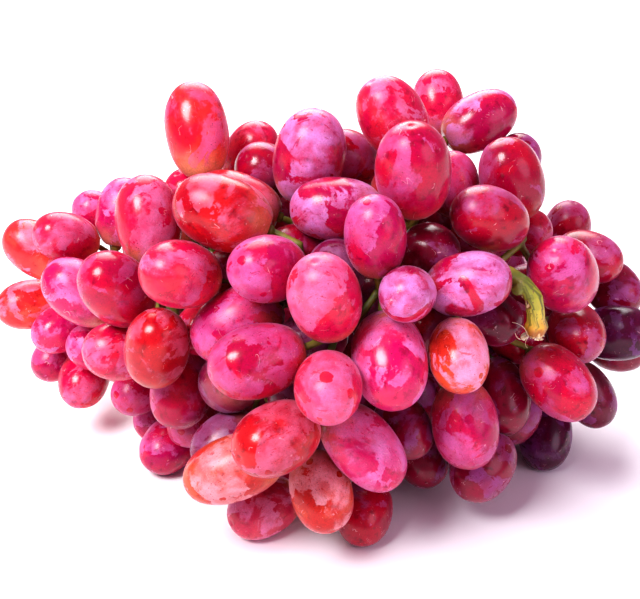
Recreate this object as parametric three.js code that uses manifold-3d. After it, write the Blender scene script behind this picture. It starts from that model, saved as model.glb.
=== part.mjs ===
// Bunch of grapes: large oval table grapes on a branched green stem, lying on its side.
// Units are millimetres. +X runs along the bunch from its narrow tail to its broad head,
// -Y is the side the bunch shows, +Z is up and z = 0 is the table.
import * as THREE from 'three';
import { mergeVertices } from 'three/addons/utils/BufferGeometryUtils.js';
import Module from 'manifold-3d';

const wasm = await Module();
wasm.setup();

// ---------------------------------------------------------------- driving dimensions
const BUNCH_LENGTH = 225;       // tail to head, as the grapes are set out
const BUNCH_HEIGHT = 124;       // table to the topmost grape, before they settle
const BUNCH_DEPTH = 132;        // shown side to far side, before they settle
const GRAPE_GIRTH = 18.8;       // across a common grape
const GRAPE_STRETCH = 1.38;     // its length over its girth
const PEDUNCLE_THICKNESS = 5.0; // the cut main stalk
const RACHIS_THICKNESS = 4.2;   // the axis inside the bunch
const BRANCH_THICKNESS = 2.8;   // side branches off the axis
const PEDICEL_THICKNESS = 2.0;  // the little stalk of one grape

// ---------------------------------------------------------------- fits and fineness
const GAP = 0.3;                // air kept between two pieces that touch
const TABLE_FLAT = 0.8;         // how far a grape that bears on the table is pressed flat
const TABLE_REACH = 4.5;        // grapes this close to the table are let down onto it
const PEDICEL_ROOTED = 4.0;     // how deep a pedicel goes into a grape of its own sprig
const PEDICEL_CLEAR = 0.6;      // how far it stops short of a grape that is its own piece
const NODE_SWELLING = 1.3;      // knob where a branch leaves the axis, over its radius
const SINGLE_SIDES = 8;
const SINGLE_RINGS = 6;
const SPRIG_SIDES = 7;
const SPRIG_RINGS = 5;
const STALK_SIDES = 6;
const PEDICEL_SIDES = 4;
const TUCKED_PEDICEL_SIDES = 3;
const PEDICEL_STEPS = 3;
const SETTLE_ROUNDS = 160;
const HOME_PULL = 0.04;         // first share of the way back to its place in one round
const PUSH_SHARE = 0.42;        // share of an overlap that each of two grapes gives way
const STALK_PUSH = 0.5;         // share of an overlap that a grape gives way to a stalk
const FACE_YIELD = 0.55;        // how readily a face grape moves sideways, 1 is freely
const FILL_PASSES = 2;          // the far side is filled, left to settle and filled up again
const FILL_TRIES = 5000;        // places tried for its grapes in one pass
const FILL_CROWDING = 0.90;     // closest start of two grapes, over their mean girth
const FILL_RIND = 0.62;         // inside this share of the outline are only the stalks
const FILL_COVER = 0.72;        // how near behind a shown grape they stand, over GRAPE_GIRTH
const UNDERSIDE_BLUNTNESS = 3.5; // 2 is a round underside, more is flattened by the weight
// The outline they fill, as shares of the depth and height: at the middle of the bunch,
// and how far each side draws in towards its two ends.
const FILL_FRONT = -0.53;
const FILL_FRONT_TAPER = 0.62;
const FILL_BACK = 0.47;
const FILL_BACK_TAPER = 0.16;
const FILL_TOP = 0.92;
const FILL_TOP_TAPER = 0.44;
const FILL_GIRTHS = [0.90, 1.06];    // their girths, over GRAPE_GIRTH
const FILL_STRETCHES = [0.98, 1.06]; // their stretches, over GRAPE_STRETCH
const FILL_LEANS = [0.3, 1.6];       // how far they turn from pointing straight out
const SHOWN_FROM = 330;         // the distance the shown side is arranged for

// ---------------------------------------------------------------- the leaning face
// The shown side leans back from the table. Its grapes are set out on that leaning
// face: across, up and out (towards the viewer), from a middle FACE_HEIGHT up.
const FACE_TILT = THREE.MathUtils.degToRad(25);
const FACE_HEIGHT = 0.475 * BUNCH_HEIGHT;
const DRAWN_LENGTH = 225;
const DRAWN_HEIGHT = 124;
const DRAWN_DEPTH = 132;

// One row is one grape: [across, up, out, swing, lean, girth, stretch].
// swing and lean (degrees) turn its tip: 0 is to the right, 90 is up the face, and lean
// brings the tip out. girth is a share of GRAPE_GIRTH. stretch, where given, is a share
// of GRAPE_STRETCH.
const FACE_GRAPES = {
  tail: [
    [-98, 17, -24, 145, 10, 0.98],
    [-101, -4, -31, 190, 25, 0.94],
    [-84, 17, -20, 165, 40, 0.89],
    [-69, 28, -20, 80, 0, 0.94],
    [-53, 23, 14, 98, 0, 1.06, 1.05],
    [-79, 2, -4, 142, 10, 1.02],
    [-61, 4, 22, 130, 50, 1.08],
    [-48, -14, 26, 75, 40, 1.02],
    [-63, -16, 12, 185, 35, 0.98],
    [-43, -26, 10, 255, 25, 1.05],
    [-52, -46, -15, 230, 60, 0.93],
    [-91, -8, -28, 215, 30, 0.86],
    [-84, -27, -34, 265, 50, 0.92],
  ],
  mid: [
    [-28, 23, 36, 160, 5, 1.12],
    [-39, 6, 38, 172, 55, 1.03],
    [-24, -8, 32, 210, 0, 1.10],
    [-17, -17, 50, 195, 25, 1.07],
    [0, -23, 58, 270, 70, 0.96],
    [-14, 9, 46, 185, 55, 1.00],
    [-1, 1, 54, 105, 45, 1.05],
    [2, 21, 34, 178, 0, 0.98, 1.06],
    [12, 15, 50, 95, 25, 0.90],
    [21, 2, 56, 200, 75, 0.80],
    [39, 4, 44, 12, 25, 0.95],
    [17, -17, 48, 277, 30, 1.11],
    [36, -15, 46, 275, 40, 0.88],
  ],
  foot: [
    [40, -37, 28, 278, 0, 1.03],
    [10, -42, 40, 312, 0, 0.99, 1.14],
    [-13, -37, 54, 203, 40, 1.03],
    [-26, -48, 36, 200, 0, 1.00, 1.16],
    [-1, -54, 34, 287, 30, 0.95],
    [-17, -61, 12, 200, 35, 0.94],
    [12, -63, 18, 250, 55, 0.90],
  ],
  crown: [
    [-40.5, 47, 10, 98, 0, 1.03, 1.14],
    [-26, 31, 20, 160, 0, 0.93, 1.14],
    [-4, 41, 24, 78, 20, 1.13],
    [16, 50, 14, 125, 30, 1.07],
    [24, 35, 44, 97, 40, 1.12],
    [38, 64, -13, 93, 0, 0.93],
    [50, 56, -2, 30, 0, 0.96, 1.04],
    [54, 34, 16, 112, 25, 1.03],
    [46, 22, 34, 165, 35, 0.98],
  ],
  head: [
    [88, 15, -17, 335, 35, 0.90],
    [71, 7, 22, 130, 55, 1.11],
    [97, -11, -13, 2, 25, 0.99],
    [77, -10, 4, 275, 65, 0.94],
    [70, -24, 14, 310, 15, 1.01],
    [88, -32, -17, 300, 0, 0.89, 1.04],
    [72, -44, -17, 255, 30, 0.93],
    [56, -28, 6, 280, 25, 0.97],
    [47, -5, 24, 330, 35, 0.92],
  ],
};

// Grapes half hidden between and behind those: each hangs on one of the sprigs.
const TUCKED_GRAPES = [
  [-79, 29, -32, 120, 55, 0.83],
  [-62, -32, -22, 200, 40, 0.82],
  [-58, -37, -23, 220, 55, 0.82],
  [-44, -40, -6, 240, 55, 0.82],
  [-79, -15, -21, 230, 35, 0.83],
  [-94, -21, -42, 225, 35, 0.85],
  [-27, -39, 22, 200, 0, 0.92, 1.05],
  [23, -38, 20, 300, 40, 0.86],
  [31, -51, 2, 290, 55, 0.84],
  [-24, 46, -6, 60, 20, 0.94],
  [-20, 38, 8, 80, 50, 0.90],
  [10, 43, 4, 95, 40, 0.97],
  [41, 35, 12, 100, 30, 0.85],
  [61, 45, -6, 80, 60, 0.87],
  [63, 21, 2, 70, 55, 0.78],
  [84, 22, -27, 80, 30, 0.88],
  [99, 3, -24, 340, 50, 0.92],
  [101, -18, -31, 350, 0, 0.79],
  [64, -39, -10, 235, 30, 0.84],
  [-37, -11, 14, 200, 35, 0.93],
  [59, -14, 4, 300, 55, 0.90],
  [30, 16, 30, 180, 15, 0.96],
  [5, 9, 34, 90, 55, 0.90],
  [10, -2, 32, 270, 35, 0.93],
  [-5, -11, 34, 200, 40, 0.90],
  [-27, 7, 22, 180, 40, 0.90],
  [-3, 15, 30, 180, 40, 0.90],
  [-28, -28, 22, 200, 20, 0.96],
  [-7, -29, 34, 200, 45, 0.90],
  [-43, 32, 6, 120, 45, 0.90],
  [32, -9, 30, 100, 55, 0.90],
];

// The main stalk comes out of the face right of its middle, arches over and is cut off.
// Points are [across, up, out], as for the grapes.
const PEDUNCLE_LINE = [[60, -8, 36], [58, 1, 41], [53, 6, 38], [46, 9, 26], [38, 8, 10], [28, 6, -4]];
const RACHIS_LINE = [[30, 6, -2], [4, 3, -8], [-26, 1, -8], [-54, -2, -16], [-78, -5, -34]];
const HEAD_ARM_LINE = [[40, 8, 13], [50, 0, -4], [64, -6, -14], [80, -8, -28]];
const BROKEN_STUB_LINE = [[55.5, 3.5, 39.5], [53.2, 2.2, 41.6]];

// Short side branches that carry the pedicels of the face grapes: [start, end].
const FACE_BRANCHES = [
  [[-66, -3, -24], [-68, 6, -12]],
  [[-50, -2, -14], [-48, -8, 2]],
  [[-34, 1, -9], [-36, 14, 10]],
  [[-22, 1, -8], [-20, -8, 12]],
  [[-8, 2, -8], [-8, 22, 8]],
  [[2, 3, -8], [2, -22, 10]],
  [[12, 4, -7], [14, 8, 14]],
  [[22, 5, -5], [30, 30, 4]],
  [[28, 6, -3], [34, -14, 10]],
  [[62, -6, -13], [66, -18, -4]],
];

// Each sprig is a side branch that starts beside the axis and ends among its grapes.
// [name, across, up, out] of the far end of its branch.
const SPRIGS = [
  ['sprig_tail', -72, -14, -42],
  ['sprig_back_left', -36, 18, -36],
  ['sprig_back_right', 30, 20, -38],
  ['sprig_under_left', -30, -26, -18],
  ['sprig_under_right', 30, -26, -20],
  ['sprig_crown', 14, 32, -14],
  ['sprig_head', 84, 0, -46],
  ['sprig_face', -2, -4, 14],
];

// ---------------------------------------------------------------- colours
const SKIN_COLOURS = {
  tail: 0xcf3f58,
  mid: 0xc22c4c,
  foot: 0xb92a43,
  crown: 0xb82346,
  head: 0x8e1b3d,
};
const SPRIG_COLOUR = 0x9c2441;
const STALK_COLOUR = 0x8f8a35;

// ================================================================ geometry helpers
const OUT_AXIS = new THREE.Vector3(0, -Math.cos(FACE_TILT), Math.sin(FACE_TILT));
const UP_AXIS = new THREE.Vector3(0, Math.sin(FACE_TILT), Math.cos(FACE_TILT));
const ACROSS_AXIS = new THREE.Vector3(1, 0, 0);

function faceDirection(across, up, out) {
  return new THREE.Vector3()
    .addScaledVector(ACROSS_AXIS, across)
    .addScaledVector(UP_AXIS, up)
    .addScaledVector(OUT_AXIS, out);
}

function facePlace([across, up, out]) {
  const place = faceDirection(
    across * BUNCH_LENGTH / DRAWN_LENGTH,
    up * BUNCH_HEIGHT / DRAWN_HEIGHT,
    out * BUNCH_DEPTH / DRAWN_DEPTH,
  );
  place.z += FACE_HEIGHT;
  return place;
}

// A repeatable number from 0 to 1 for a place in a list.
function scatter(index, kind) {
  const wave = Math.sin(index * 12.9898 + kind * 78.233) * 43758.5453;
  return wave - Math.floor(wave);
}

function clean(geometry) {
  geometry.deleteAttribute('normal');
  geometry.deleteAttribute('uv');
  return mergeVertices(geometry, 1e-4);
}

function toSolid(geometry) {
  return new wasm.Manifold(new wasm.Mesh({
    numProp: 3,
    vertProperties: new Float32Array(geometry.attributes.position.array),
    triVerts: new Uint32Array(geometry.index.array),
  }));
}

function toGeometry(solid) {
  const mesh = solid.getMesh();
  const geometry = new THREE.BufferGeometry();
  geometry.setAttribute('position', new THREE.BufferAttribute(new Float32Array(mesh.vertProperties), 3));
  geometry.setIndex(new THREE.BufferAttribute(new Uint32Array(mesh.triVerts), 1));
  return geometry;
}

// Fills the tiny sealed voids left between stalks that cross each other.
function withoutVoids(solid) {
  const bodies = solid.decompose().filter((body) => body.volume() > 0);
  return bodies.length === 1 ? bodies[0] : solid;
}

// The largest body of a solid: a groove through the rim of a grape leaves no crumb.
function mainBody(solid) {
  return solid.decompose().reduce((largest, body) => {
    return body.volume() > largest.volume() ? body : largest;
  });
}

// ================================================================ the grapes
function makeGrape(row, role) {
  const [across, up, out, swing, lean, girth, stretch = 1] = row;
  const swingAngle = THREE.MathUtils.degToRad(swing);
  const leanAngle = THREE.MathUtils.degToRad(lean);
  const axis = faceDirection(
    Math.cos(swingAngle) * Math.cos(leanAngle),
    Math.sin(swingAngle) * Math.cos(leanAngle),
    Math.sin(leanAngle),
  ).normalize();
  const radius = girth * GRAPE_GIRTH / 2;
  const half = radius * GRAPE_STRETCH * stretch;
  const centre = facePlace([across, up, out]);
  return { role, axis, radius, half, centre, home: centre.clone(), walls: [] };
}

// Half thickness of a grape along a direction: the support of an ovoid of revolution.
function reach(grape, direction) {
  const along = grape.axis.dot(direction);
  const round = grape.radius * grape.radius;
  return Math.sqrt(round + (grape.half * grape.half - round) * along * along);
}

// The widest gap between two grapes and the direction it opens in (negative = pressed).
function separation(first, second) {
  const apart = new THREE.Vector3().subVectors(second.centre, first.centre);
  const distance = Math.max(apart.length(), 0.001);
  const direction = apart.clone().divideScalar(distance);
  const slope = new THREE.Vector3();
  for (let round = 0; round < 12; round += 1) {
    slope.copy(apart);
    for (const grape of [first, second]) {
      const along = grape.axis.dot(direction);
      const thickness = reach(grape, direction);
      const squash = grape.half * grape.half - grape.radius * grape.radius;
      slope.addScaledVector(direction, -grape.radius * grape.radius / thickness);
      slope.addScaledVector(grape.axis, -squash * along / thickness);
    }
    slope.addScaledVector(direction, -slope.dot(direction));
    direction.addScaledVector(slope, 0.7 / distance).normalize();
  }
  const gap = apart.dot(direction) - reach(first, direction) - reach(second, direction);
  return { gap, direction };
}

function nearEnough(first, second, slack) {
  return first.centre.distanceTo(second.centre) < first.half + second.half + slack;
}

// ---------------------------------------------------------------- far side and underside
// The grapes that close the bunch behind and below the shown side fill the rind of a
// loaf-shaped outline, wherever no other grape is already in the way.
function outlineAt(along) {
  const share = along / (0.5 * BUNCH_LENGTH);
  const taper = Math.min(1, Math.abs(share));
  const front = BUNCH_DEPTH * (FILL_FRONT + FILL_FRONT_TAPER * taper * taper);
  const back = BUNCH_DEPTH * (FILL_BACK - FILL_BACK_TAPER * taper * taper);
  const top = BUNCH_HEIGHT * (FILL_TOP - FILL_TOP_TAPER * Math.pow(taper, 1.8));
  return {
    middle: new THREE.Vector3(along, (front + back) / 2, top / 2),
    halfDepth: (back - front) / 2,
    halfHeight: top / 2,
  };
}

// Where a place stands in the outline: 0 at its axis and 1 at its skin.
function outlineShare(place, margin) {
  const outline = outlineAt(place.x);
  const ends = place.x / (0.5 * BUNCH_LENGTH - margin);
  const depth = (place.y - outline.middle.y) / Math.max(1, outline.halfDepth - margin);
  const height = (place.z - outline.middle.z) / Math.max(1, outline.halfHeight - margin);
  const blunt = height < 0 ? UNDERSIDE_BLUNTNESS : 2;
  const section = Math.pow(Math.abs(depth) ** blunt + Math.abs(height) ** blunt, 1 / blunt);
  return Math.cbrt(Math.abs(ends) ** 3 + section ** 3);
}

// Where a place appears on the shown side, seen from SHOWN_FROM in front of the face.
function shownPlace(place) {
  const offset = place.clone();
  offset.z -= FACE_HEIGHT;
  const out = offset.dot(OUT_AXIS);
  const nearness = SHOWN_FROM / (SHOWN_FROM - out);
  return { across: offset.x * nearness, up: offset.dot(UP_AXIS) * nearness, out };
}

// A grape of the far side stands behind some grape of the shown side and never breaks
// the shown outline.
function standsBehind(place, shown) {
  const mark = shownPlace(place);
  let covered = false;
  for (const grape of shown) {
    const other = shownPlace(grape.centre);
    const aside = Math.hypot(mark.across - other.across, mark.up - other.up);
    if (aside < FILL_COVER * GRAPE_GIRTH) {
      covered = true;
    }
    if (aside < 0.9 * GRAPE_GIRTH && mark.out > other.out) {
      return false;
    }
  }
  return covered;
}

function hiddenGrapes(placed, pass) {
  const grapes = [];
  const shown = placed.filter((grape) => grape.role !== 'hidden');
  for (let index = pass * FILL_TRIES; index < (pass + 1) * FILL_TRIES; index += 1) {
    const place = new THREE.Vector3(
      (scatter(index, 5) - 0.5) * BUNCH_LENGTH,
      (scatter(index, 6) - 0.5) * BUNCH_DEPTH,
      scatter(index, 7) * BUNCH_HEIGHT,
    );
    const skin = outlineShare(place, 0.5 * GRAPE_GIRTH);
    if (skin > 1 || skin < FILL_RIND || !standsBehind(place, shown)) {
      continue;
    }
    const outline = outlineAt(place.x);
    const normal = new THREE.Vector3(
      place.x / BUNCH_LENGTH,
      (place.y - outline.middle.y) / outline.halfDepth,
      (place.z - outline.middle.z) / outline.halfHeight,
    ).normalize();
    const tangent = new THREE.Vector3(1, 0, 0).cross(normal).normalize();
    const roll = 2 * Math.PI * scatter(index, 1);
    const spread = THREE.MathUtils.lerp(...FILL_LEANS, scatter(index, 2));
    const axis = normal.clone()
      .addScaledVector(tangent, spread * Math.sin(roll))
      .addScaledVector(ACROSS_AXIS, spread * Math.cos(roll))
      .normalize();
    const radius = GRAPE_GIRTH * THREE.MathUtils.lerp(...FILL_GIRTHS, scatter(index, 3)) / 2;
    const half = radius * GRAPE_STRETCH * THREE.MathUtils.lerp(...FILL_STRETCHES, scatter(index, 4));
    const grape = { role: 'hidden', axis, radius, half, centre: place, home: place.clone(), walls: [] };
    const crowded = placed.concat(grapes).some((other) => {
      return other.centre.distanceTo(place) < FILL_CROWDING * (other.radius + radius);
    });
    if (!crowded) {
      grapes.push(grape);
    }
  }
  return grapes;
}

// ---------------------------------------------------------------- letting them settle
// Grapes push each other apart, give way to the stalks and stay on the table. A grape of
// the face slides in and out more readily than sideways, so the face keeps its pattern.
function push(grape, direction, amount) {
  const step = direction.clone().multiplyScalar(amount);
  if (grape.role !== 'hidden') {
    const out = step.dot(OUT_AXIS);
    step.multiplyScalar(FACE_YIELD).addScaledVector(OUT_AXIS, (1 - FACE_YIELD) * out);
  }
  grape.centre.add(step);
}

function lowest(grape) {
  return grape.centre.z - reach(grape, new THREE.Vector3(0, 0, 1));
}

function settle(grapes, stalks) {
  for (let round = 0; round < SETTLE_ROUNDS; round += 1) {
    const pull = HOME_PULL * (1 - round / SETTLE_ROUNDS);
    for (const grape of grapes) {
      grape.centre.lerp(grape.home, pull);
    }
    for (let i = 0; i < grapes.length; i += 1) {
      for (let j = i + 1; j < grapes.length; j += 1) {
        if (nearEnough(grapes[i], grapes[j], GAP)) {
          const { gap, direction } = separation(grapes[i], grapes[j]);
          if (gap < GAP) {
            const share = PUSH_SHARE * (GAP - gap);
            push(grapes[i], direction, -share);
            push(grapes[j], direction, share);
          }
        }
      }
    }
    for (const grape of grapes) {
      for (const stalk of stalks) {
        for (const bead of stalk.beads) {
          if (bead.distanceTo(grape.centre) < grape.half + stalk.radius + GAP) {
            const knot = { axis: grape.axis, radius: stalk.radius, half: stalk.radius, centre: bead };
            const { gap, direction } = separation(knot, grape);
            if (gap < GAP) {
              push(grape, direction, STALK_PUSH * (GAP - gap));
            }
          }
        }
      }
      const sunk = -TABLE_FLAT - lowest(grape);
      if (sunk > 0) {
        grape.centre.z += sunk;
      }
    }
  }
}

function letDown(grapes) {
  for (const grape of grapes) {
    const height = lowest(grape);
    if (height < TABLE_REACH) {
      grape.centre.z -= height + TABLE_FLAT;
    }
  }
}

// Two grapes that would still touch are pressed flat against each other, a gap apart.
function pressTogether(grapes) {
  for (let i = 0; i < grapes.length; i += 1) {
    for (let j = i + 1; j < grapes.length; j += 1) {
      if (nearEnough(grapes[i], grapes[j], GAP)) {
        const { gap, direction } = separation(grapes[i], grapes[j]);
        if (gap < GAP) {
          const near = grapes[i].centre.dot(direction) + reach(grapes[i], direction);
          const far = grapes[j].centre.dot(direction) - reach(grapes[j], direction);
          const middle = (near + far) / 2;
          grapes[i].walls.push({ direction, limit: middle - GAP / 2 });
          grapes[j].walls.push({ direction: direction.clone().negate(), limit: -middle - GAP / 2 });
        }
      }
    }
  }
}

function grapeGeometry(grape, sides, rings) {
  const geometry = new THREE.SphereGeometry(1, sides, rings);
  const turn = new THREE.Quaternion().setFromUnitVectors(new THREE.Vector3(0, 1, 0), grape.axis);
  const size = new THREE.Vector3(grape.radius, grape.half, grape.radius);
  geometry.applyMatrix4(new THREE.Matrix4().compose(grape.centre, turn, size));
  const body = clean(geometry);
  const points = body.attributes.position;
  const point = new THREE.Vector3();
  for (let index = 0; index < points.count; index += 1) {
    point.fromBufferAttribute(points, index);
    for (let sweep = 0; sweep < 6; sweep += 1) {
      for (const wall of grape.walls) {
        const over = point.dot(wall.direction) - wall.limit;
        if (over > 0) {
          point.addScaledVector(wall.direction, -over);
        }
      }
    }
    points.setXYZ(index, point.x, point.y, point.z);
  }
  return body;
}

// ================================================================ the stalks
function polygon(radius, sides) {
  const shape = new THREE.Shape();
  for (let corner = 0; corner < sides; corner += 1) {
    const angle = 2 * Math.PI * corner / sides;
    const x = radius * Math.cos(angle);
    const y = radius * Math.sin(angle);
    if (corner === 0) {
      shape.moveTo(x, y);
    } else {
      shape.lineTo(x, y);
    }
  }
  shape.closePath();
  return shape;
}

function tube(curve, radius, sides, steps) {
  const geometry = new THREE.ExtrudeGeometry(polygon(radius, sides), {
    steps,
    extrudePath: curve,
    bevelEnabled: false,
  });
  return toSolid(clean(geometry));
}

// Points every BEAD or so along the straight runs a tube is made of.
function beadsAlong(curve, steps) {
  const corners = curve.getSpacedPoints(steps);
  const beads = [corners[0]];
  for (let corner = 1; corner < corners.length; corner += 1) {
    const runs = Math.ceil(corners[corner].distanceTo(corners[corner - 1]) / BEAD);
    for (let run = 1; run <= runs; run += 1) {
      beads.push(corners[corner - 1].clone().lerp(corners[corner], run / runs));
    }
  }
  return beads;
}

function makeStalk(points, radius, owner, steps) {
  const curve = points.length === 2
    ? new THREE.LineCurve3(points[0], points[1])
    : new THREE.CatmullRomCurve3(points, false, 'centripetal');
  return { curve, radius, owner, beads: beadsAlong(curve, steps), steps };
}

function knob(centre, radius) {
  const geometry = new THREE.SphereGeometry(radius, STALK_SIDES, 4);
  geometry.rotateX(Math.PI / 2);
  geometry.translate(centre.x, centre.y, centre.z);
  return toSolid(clean(geometry));
}

// Sideways bends a pedicel may take on its way, in millimetres.
const BENDS = [
  [0, 0], [4, 0], [-4, 0], [0, 4], [0, -4], [7, 7], [-7, 7], [7, -7], [-7, -7],
  [10, 0], [-10, 0], [0, 10], [0, -10], [14, 5], [-14, 5], [5, -14], [-5, 14],
];
const BEAD = 2.2;
const OWN_END = 3.5;            // the last of a pedicel is allowed beside its own grape
const PEDICEL_ARRIVAL = 7;      // the longest run in along the grape's own axis
const ARRIVAL_SHARE = 0.4;      // that run over the whole way, on a short pedicel
const PEDICEL_STARTS = 20;      // nearest places on the branches that are tried
const PEDICEL_NEARBY = 3.2;     // grapes this near, over GRAPE_GIRTH, are kept clear of
const LENGTH_COST = 0.03;       // what a millimetre costs when two ways are compared
const CROWDED_START_COST = 0.5; // what it costs to start beside another pedicel
const GRAPE_COST = 1;           // what it costs to touch another grape
const GRAPE_DEPTH_COST = 6;     // and to go through its middle
const STALK_COST = 25;          // what it costs to touch another piece's stalk

// How deep a point is inside a grape grown by a margin (0 = on its skin, 1 = its middle).
function depthInside(grape, point, margin) {
  const offset = new THREE.Vector3().subVectors(point, grape.centre);
  const along = offset.dot(grape.axis);
  const aside = Math.sqrt(Math.max(0, offset.lengthSq() - along * along));
  const measure = Math.hypot(along / (grape.half + margin), aside / (grape.radius + margin));
  return Math.max(0, 1 - measure);
}

// Finds a pedicel from the nearest free place on its own branches to the stem end of its
// grape, bending round other grapes and other pieces' stalks where it can.
function routePedicel(grape, owner, grapes, stalks) {
  const radius = PEDICEL_THICKNESS / 2;
  const base = grape.centre.clone().addScaledVector(grape.axis, -grape.half);
  const end = base.clone().addScaledVector(grape.axis, owner === 'stem' ? -PEDICEL_CLEAR : PEDICEL_ROOTED);
  const starts = [];
  for (const stalk of stalks) {
    if (stalk.owner === owner) {
      const usable = stalk.pedicel ? Math.ceil(stalk.beads.length * 0.5) : stalk.beads.length;
      for (const bead of stalk.beads.slice(0, usable)) {
        starts.push(bead);
      }
    }
  }
  starts.sort((one, other) => one.distanceTo(base) - other.distanceTo(base));
  const reachable = PEDICEL_NEARBY * GRAPE_GIRTH;
  const near = grapes.filter((other) => other.centre.distanceTo(base) < reachable);
  const others = stalks.filter((stalk) => stalk.owner !== owner);
  const sisters = stalks.filter((stalk) => stalk.pedicel && stalk.owner === owner);
  const taken = sisters.map((stalk) => stalk.beads[0]);
  let best = null;
  for (const start of starts.slice(0, PEDICEL_STARTS)) {
    const side = new THREE.Vector3().subVectors(end, start).cross(grape.axis);
    if (side.lengthSq() < 0.01) {
      side.set(0, 0, 1).cross(grape.axis);
    }
    side.normalize();
    const lift = side.clone().cross(grape.axis).normalize();
    for (const [bendSide, bendLift] of BENDS) {
      const run = Math.min(PEDICEL_ARRIVAL, ARRIVAL_SHARE * start.distanceTo(end));
      const arrival = end.clone().addScaledVector(grape.axis, -run);
      const control = start.clone().lerp(arrival, 0.5)
        .addScaledVector(side, bendSide)
        .addScaledVector(lift, bendLift);
      const curve = new THREE.CubicBezierCurve3(start, control, arrival, end);
      const beads = beadsAlong(curve, PEDICEL_STEPS);
      let cost = LENGTH_COST * (start.distanceTo(control) + control.distanceTo(arrival));
      cost += CROWDED_START_COST * taken.filter((place) => place.distanceTo(start) < 4 * radius).length;
      for (let place = 1; place < beads.length; place += 1) {
        for (const other of near) {
          if (other === grape && beads[place].distanceTo(end) < OWN_END) {
            continue;
          }
          const depth = depthInside(other, beads[place], radius + GAP);
          if (depth > 0) {
            cost += GRAPE_COST + GRAPE_DEPTH_COST * depth;
          }
        }
        for (const stalk of others) {
          for (const bead of stalk.beads) {
            const room = bead.distanceTo(beads[place]) - radius - stalk.radius - 2 * GAP;
            if (room < 0) {
              cost += STALK_COST;
            }
          }
        }
      }
      if (best === null || cost < best.cost) {
        best = { cost, curve, beads, radius, owner, end, pedicel: true, grape, steps: PEDICEL_STEPS };
      }
    }
  }
  return best;
}

// ================================================================ putting it together
const faceGrapes = [];
for (const [region, rows] of Object.entries(FACE_GRAPES)) {
  rows.forEach((row, index) => {
    const grape = makeGrape(row, region);
    grape.owner = `${region}_grape_${index + 1}`;
    faceGrapes.push(grape);
  });
}
const tuckedGrapes = TUCKED_GRAPES.map((row) => makeGrape(row, 'tucked'));
const grapes = [...faceGrapes, ...tuckedGrapes];

const stalks = [
  makeStalk(PEDUNCLE_LINE.map(facePlace), PEDUNCLE_THICKNESS / 2, 'stem', 14),
  makeStalk(RACHIS_LINE.map(facePlace), RACHIS_THICKNESS / 2, 'stem', 14),
  makeStalk(HEAD_ARM_LINE.map(facePlace), RACHIS_THICKNESS / 2 * 0.85, 'stem', 8),
];
const axisBeads = stalks.flatMap((stalk) => stalk.beads);
for (const line of FACE_BRANCHES) {
  stalks.push(makeStalk(line.map(facePlace), BRANCH_THICKNESS / 2, 'stem', 2));
}
for (const [name, ...place] of SPRIGS) {
  const far = facePlace(place);
  const root = axisBeads.reduce((best, bead) => {
    return bead.distanceTo(far) < best.distanceTo(far) ? bead : best;
  });
  const along = new THREE.Vector3().subVectors(far, root).normalize();
  const clear = (PEDUNCLE_THICKNESS + NODE_SWELLING * BRANCH_THICKNESS) / 2 + GAP;
  const start = root.clone().addScaledVector(along, clear);
  stalks.push(makeStalk([start, far], BRANCH_THICKNESS / 2, name, 2));
}
const branches = stalks.slice();

for (let pass = 0; pass < FILL_PASSES; pass += 1) {
  grapes.push(...hiddenGrapes(grapes, pass));
  settle(grapes, branches);
}
letDown(grapes);
pressTogether(grapes);

for (const grape of grapes) {
  if (!grape.owner) {
    const base = grape.centre.clone().addScaledVector(grape.axis, -grape.half);
    let nearest = Infinity;
    for (const stalk of branches) {
      if (stalk.owner !== 'stem') {
        for (const bead of stalk.beads) {
          const distance = bead.distanceTo(base);
          if (distance < nearest) {
            nearest = distance;
            grape.owner = stalk.owner;
          }
        }
      }
    }
  }
}

const order = grapes.slice().sort((one, other) => {
  const origin = facePlace([0, 0, -8]);
  return one.centre.distanceTo(origin) - other.centre.distanceTo(origin);
});
for (const grape of order) {
  const owner = grape.role === 'tucked' || grape.role === 'hidden' ? grape.owner : 'stem';
  const pedicel = routePedicel(grape, owner, grapes, stalks);
  stalks.push(pedicel);
}

function stalkSolid(stalk, extra) {
  const pedicelSides = stalk.owner === 'stem' ? PEDICEL_SIDES : TUCKED_PEDICEL_SIDES;
  const sides = stalk.pedicel ? pedicelSides : STALK_SIDES;
  return tube(stalk.curve, stalk.radius + extra, sides, stalk.steps);
}

const table = new THREE.BoxGeometry(2 * BUNCH_LENGTH, 2 * BUNCH_LENGTH, 20);
table.translate(0, 0, -10);
const tableSolid = toSolid(clean(table));

// One grape as a solid: pressed by its neighbours, flat where it bears on the table, and
// grooved where another piece's stalk passes through its skin.
function grapeSolid(grape, sides, rings) {
  let solid = toSolid(grapeGeometry(grape, sides, rings));
  if (lowest(grape) < 0) {
    solid = solid.subtract(tableSolid);
  }
  const owner = grape.role === 'tucked' || grape.role === 'hidden' ? grape.owner : 'single';
  for (const stalk of stalks) {
    if (stalk.owner === owner) {
      continue;
    }
    const crossed = stalk.beads.some((bead) => {
      const ownEnd = stalk.grape === grape && bead.distanceTo(stalk.end) < OWN_END;
      return !ownEnd && depthInside(grape, bead, stalk.radius + GAP) > 0;
    });
    if (crossed) {
      solid = solid.subtract(stalkSolid(stalk, GAP));
    }
  }
  return mainBody(solid);
}

function stalksOf(owner) {
  const own = stalks.filter((stalk) => stalk.owner === owner);
  let solid = null;
  for (const stalk of own) {
    let piece = stalkSolid(stalk, 0);
    if (!stalk.pedicel) {
      piece = piece.add(knob(stalk.curve.getPoint(0), stalk.radius * NODE_SWELLING));
    }
    solid = solid === null ? piece : solid.add(piece);
  }
  return solid;
}

const group = new THREE.Group();
group.name = 'bunch_of_grapes';

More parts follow.
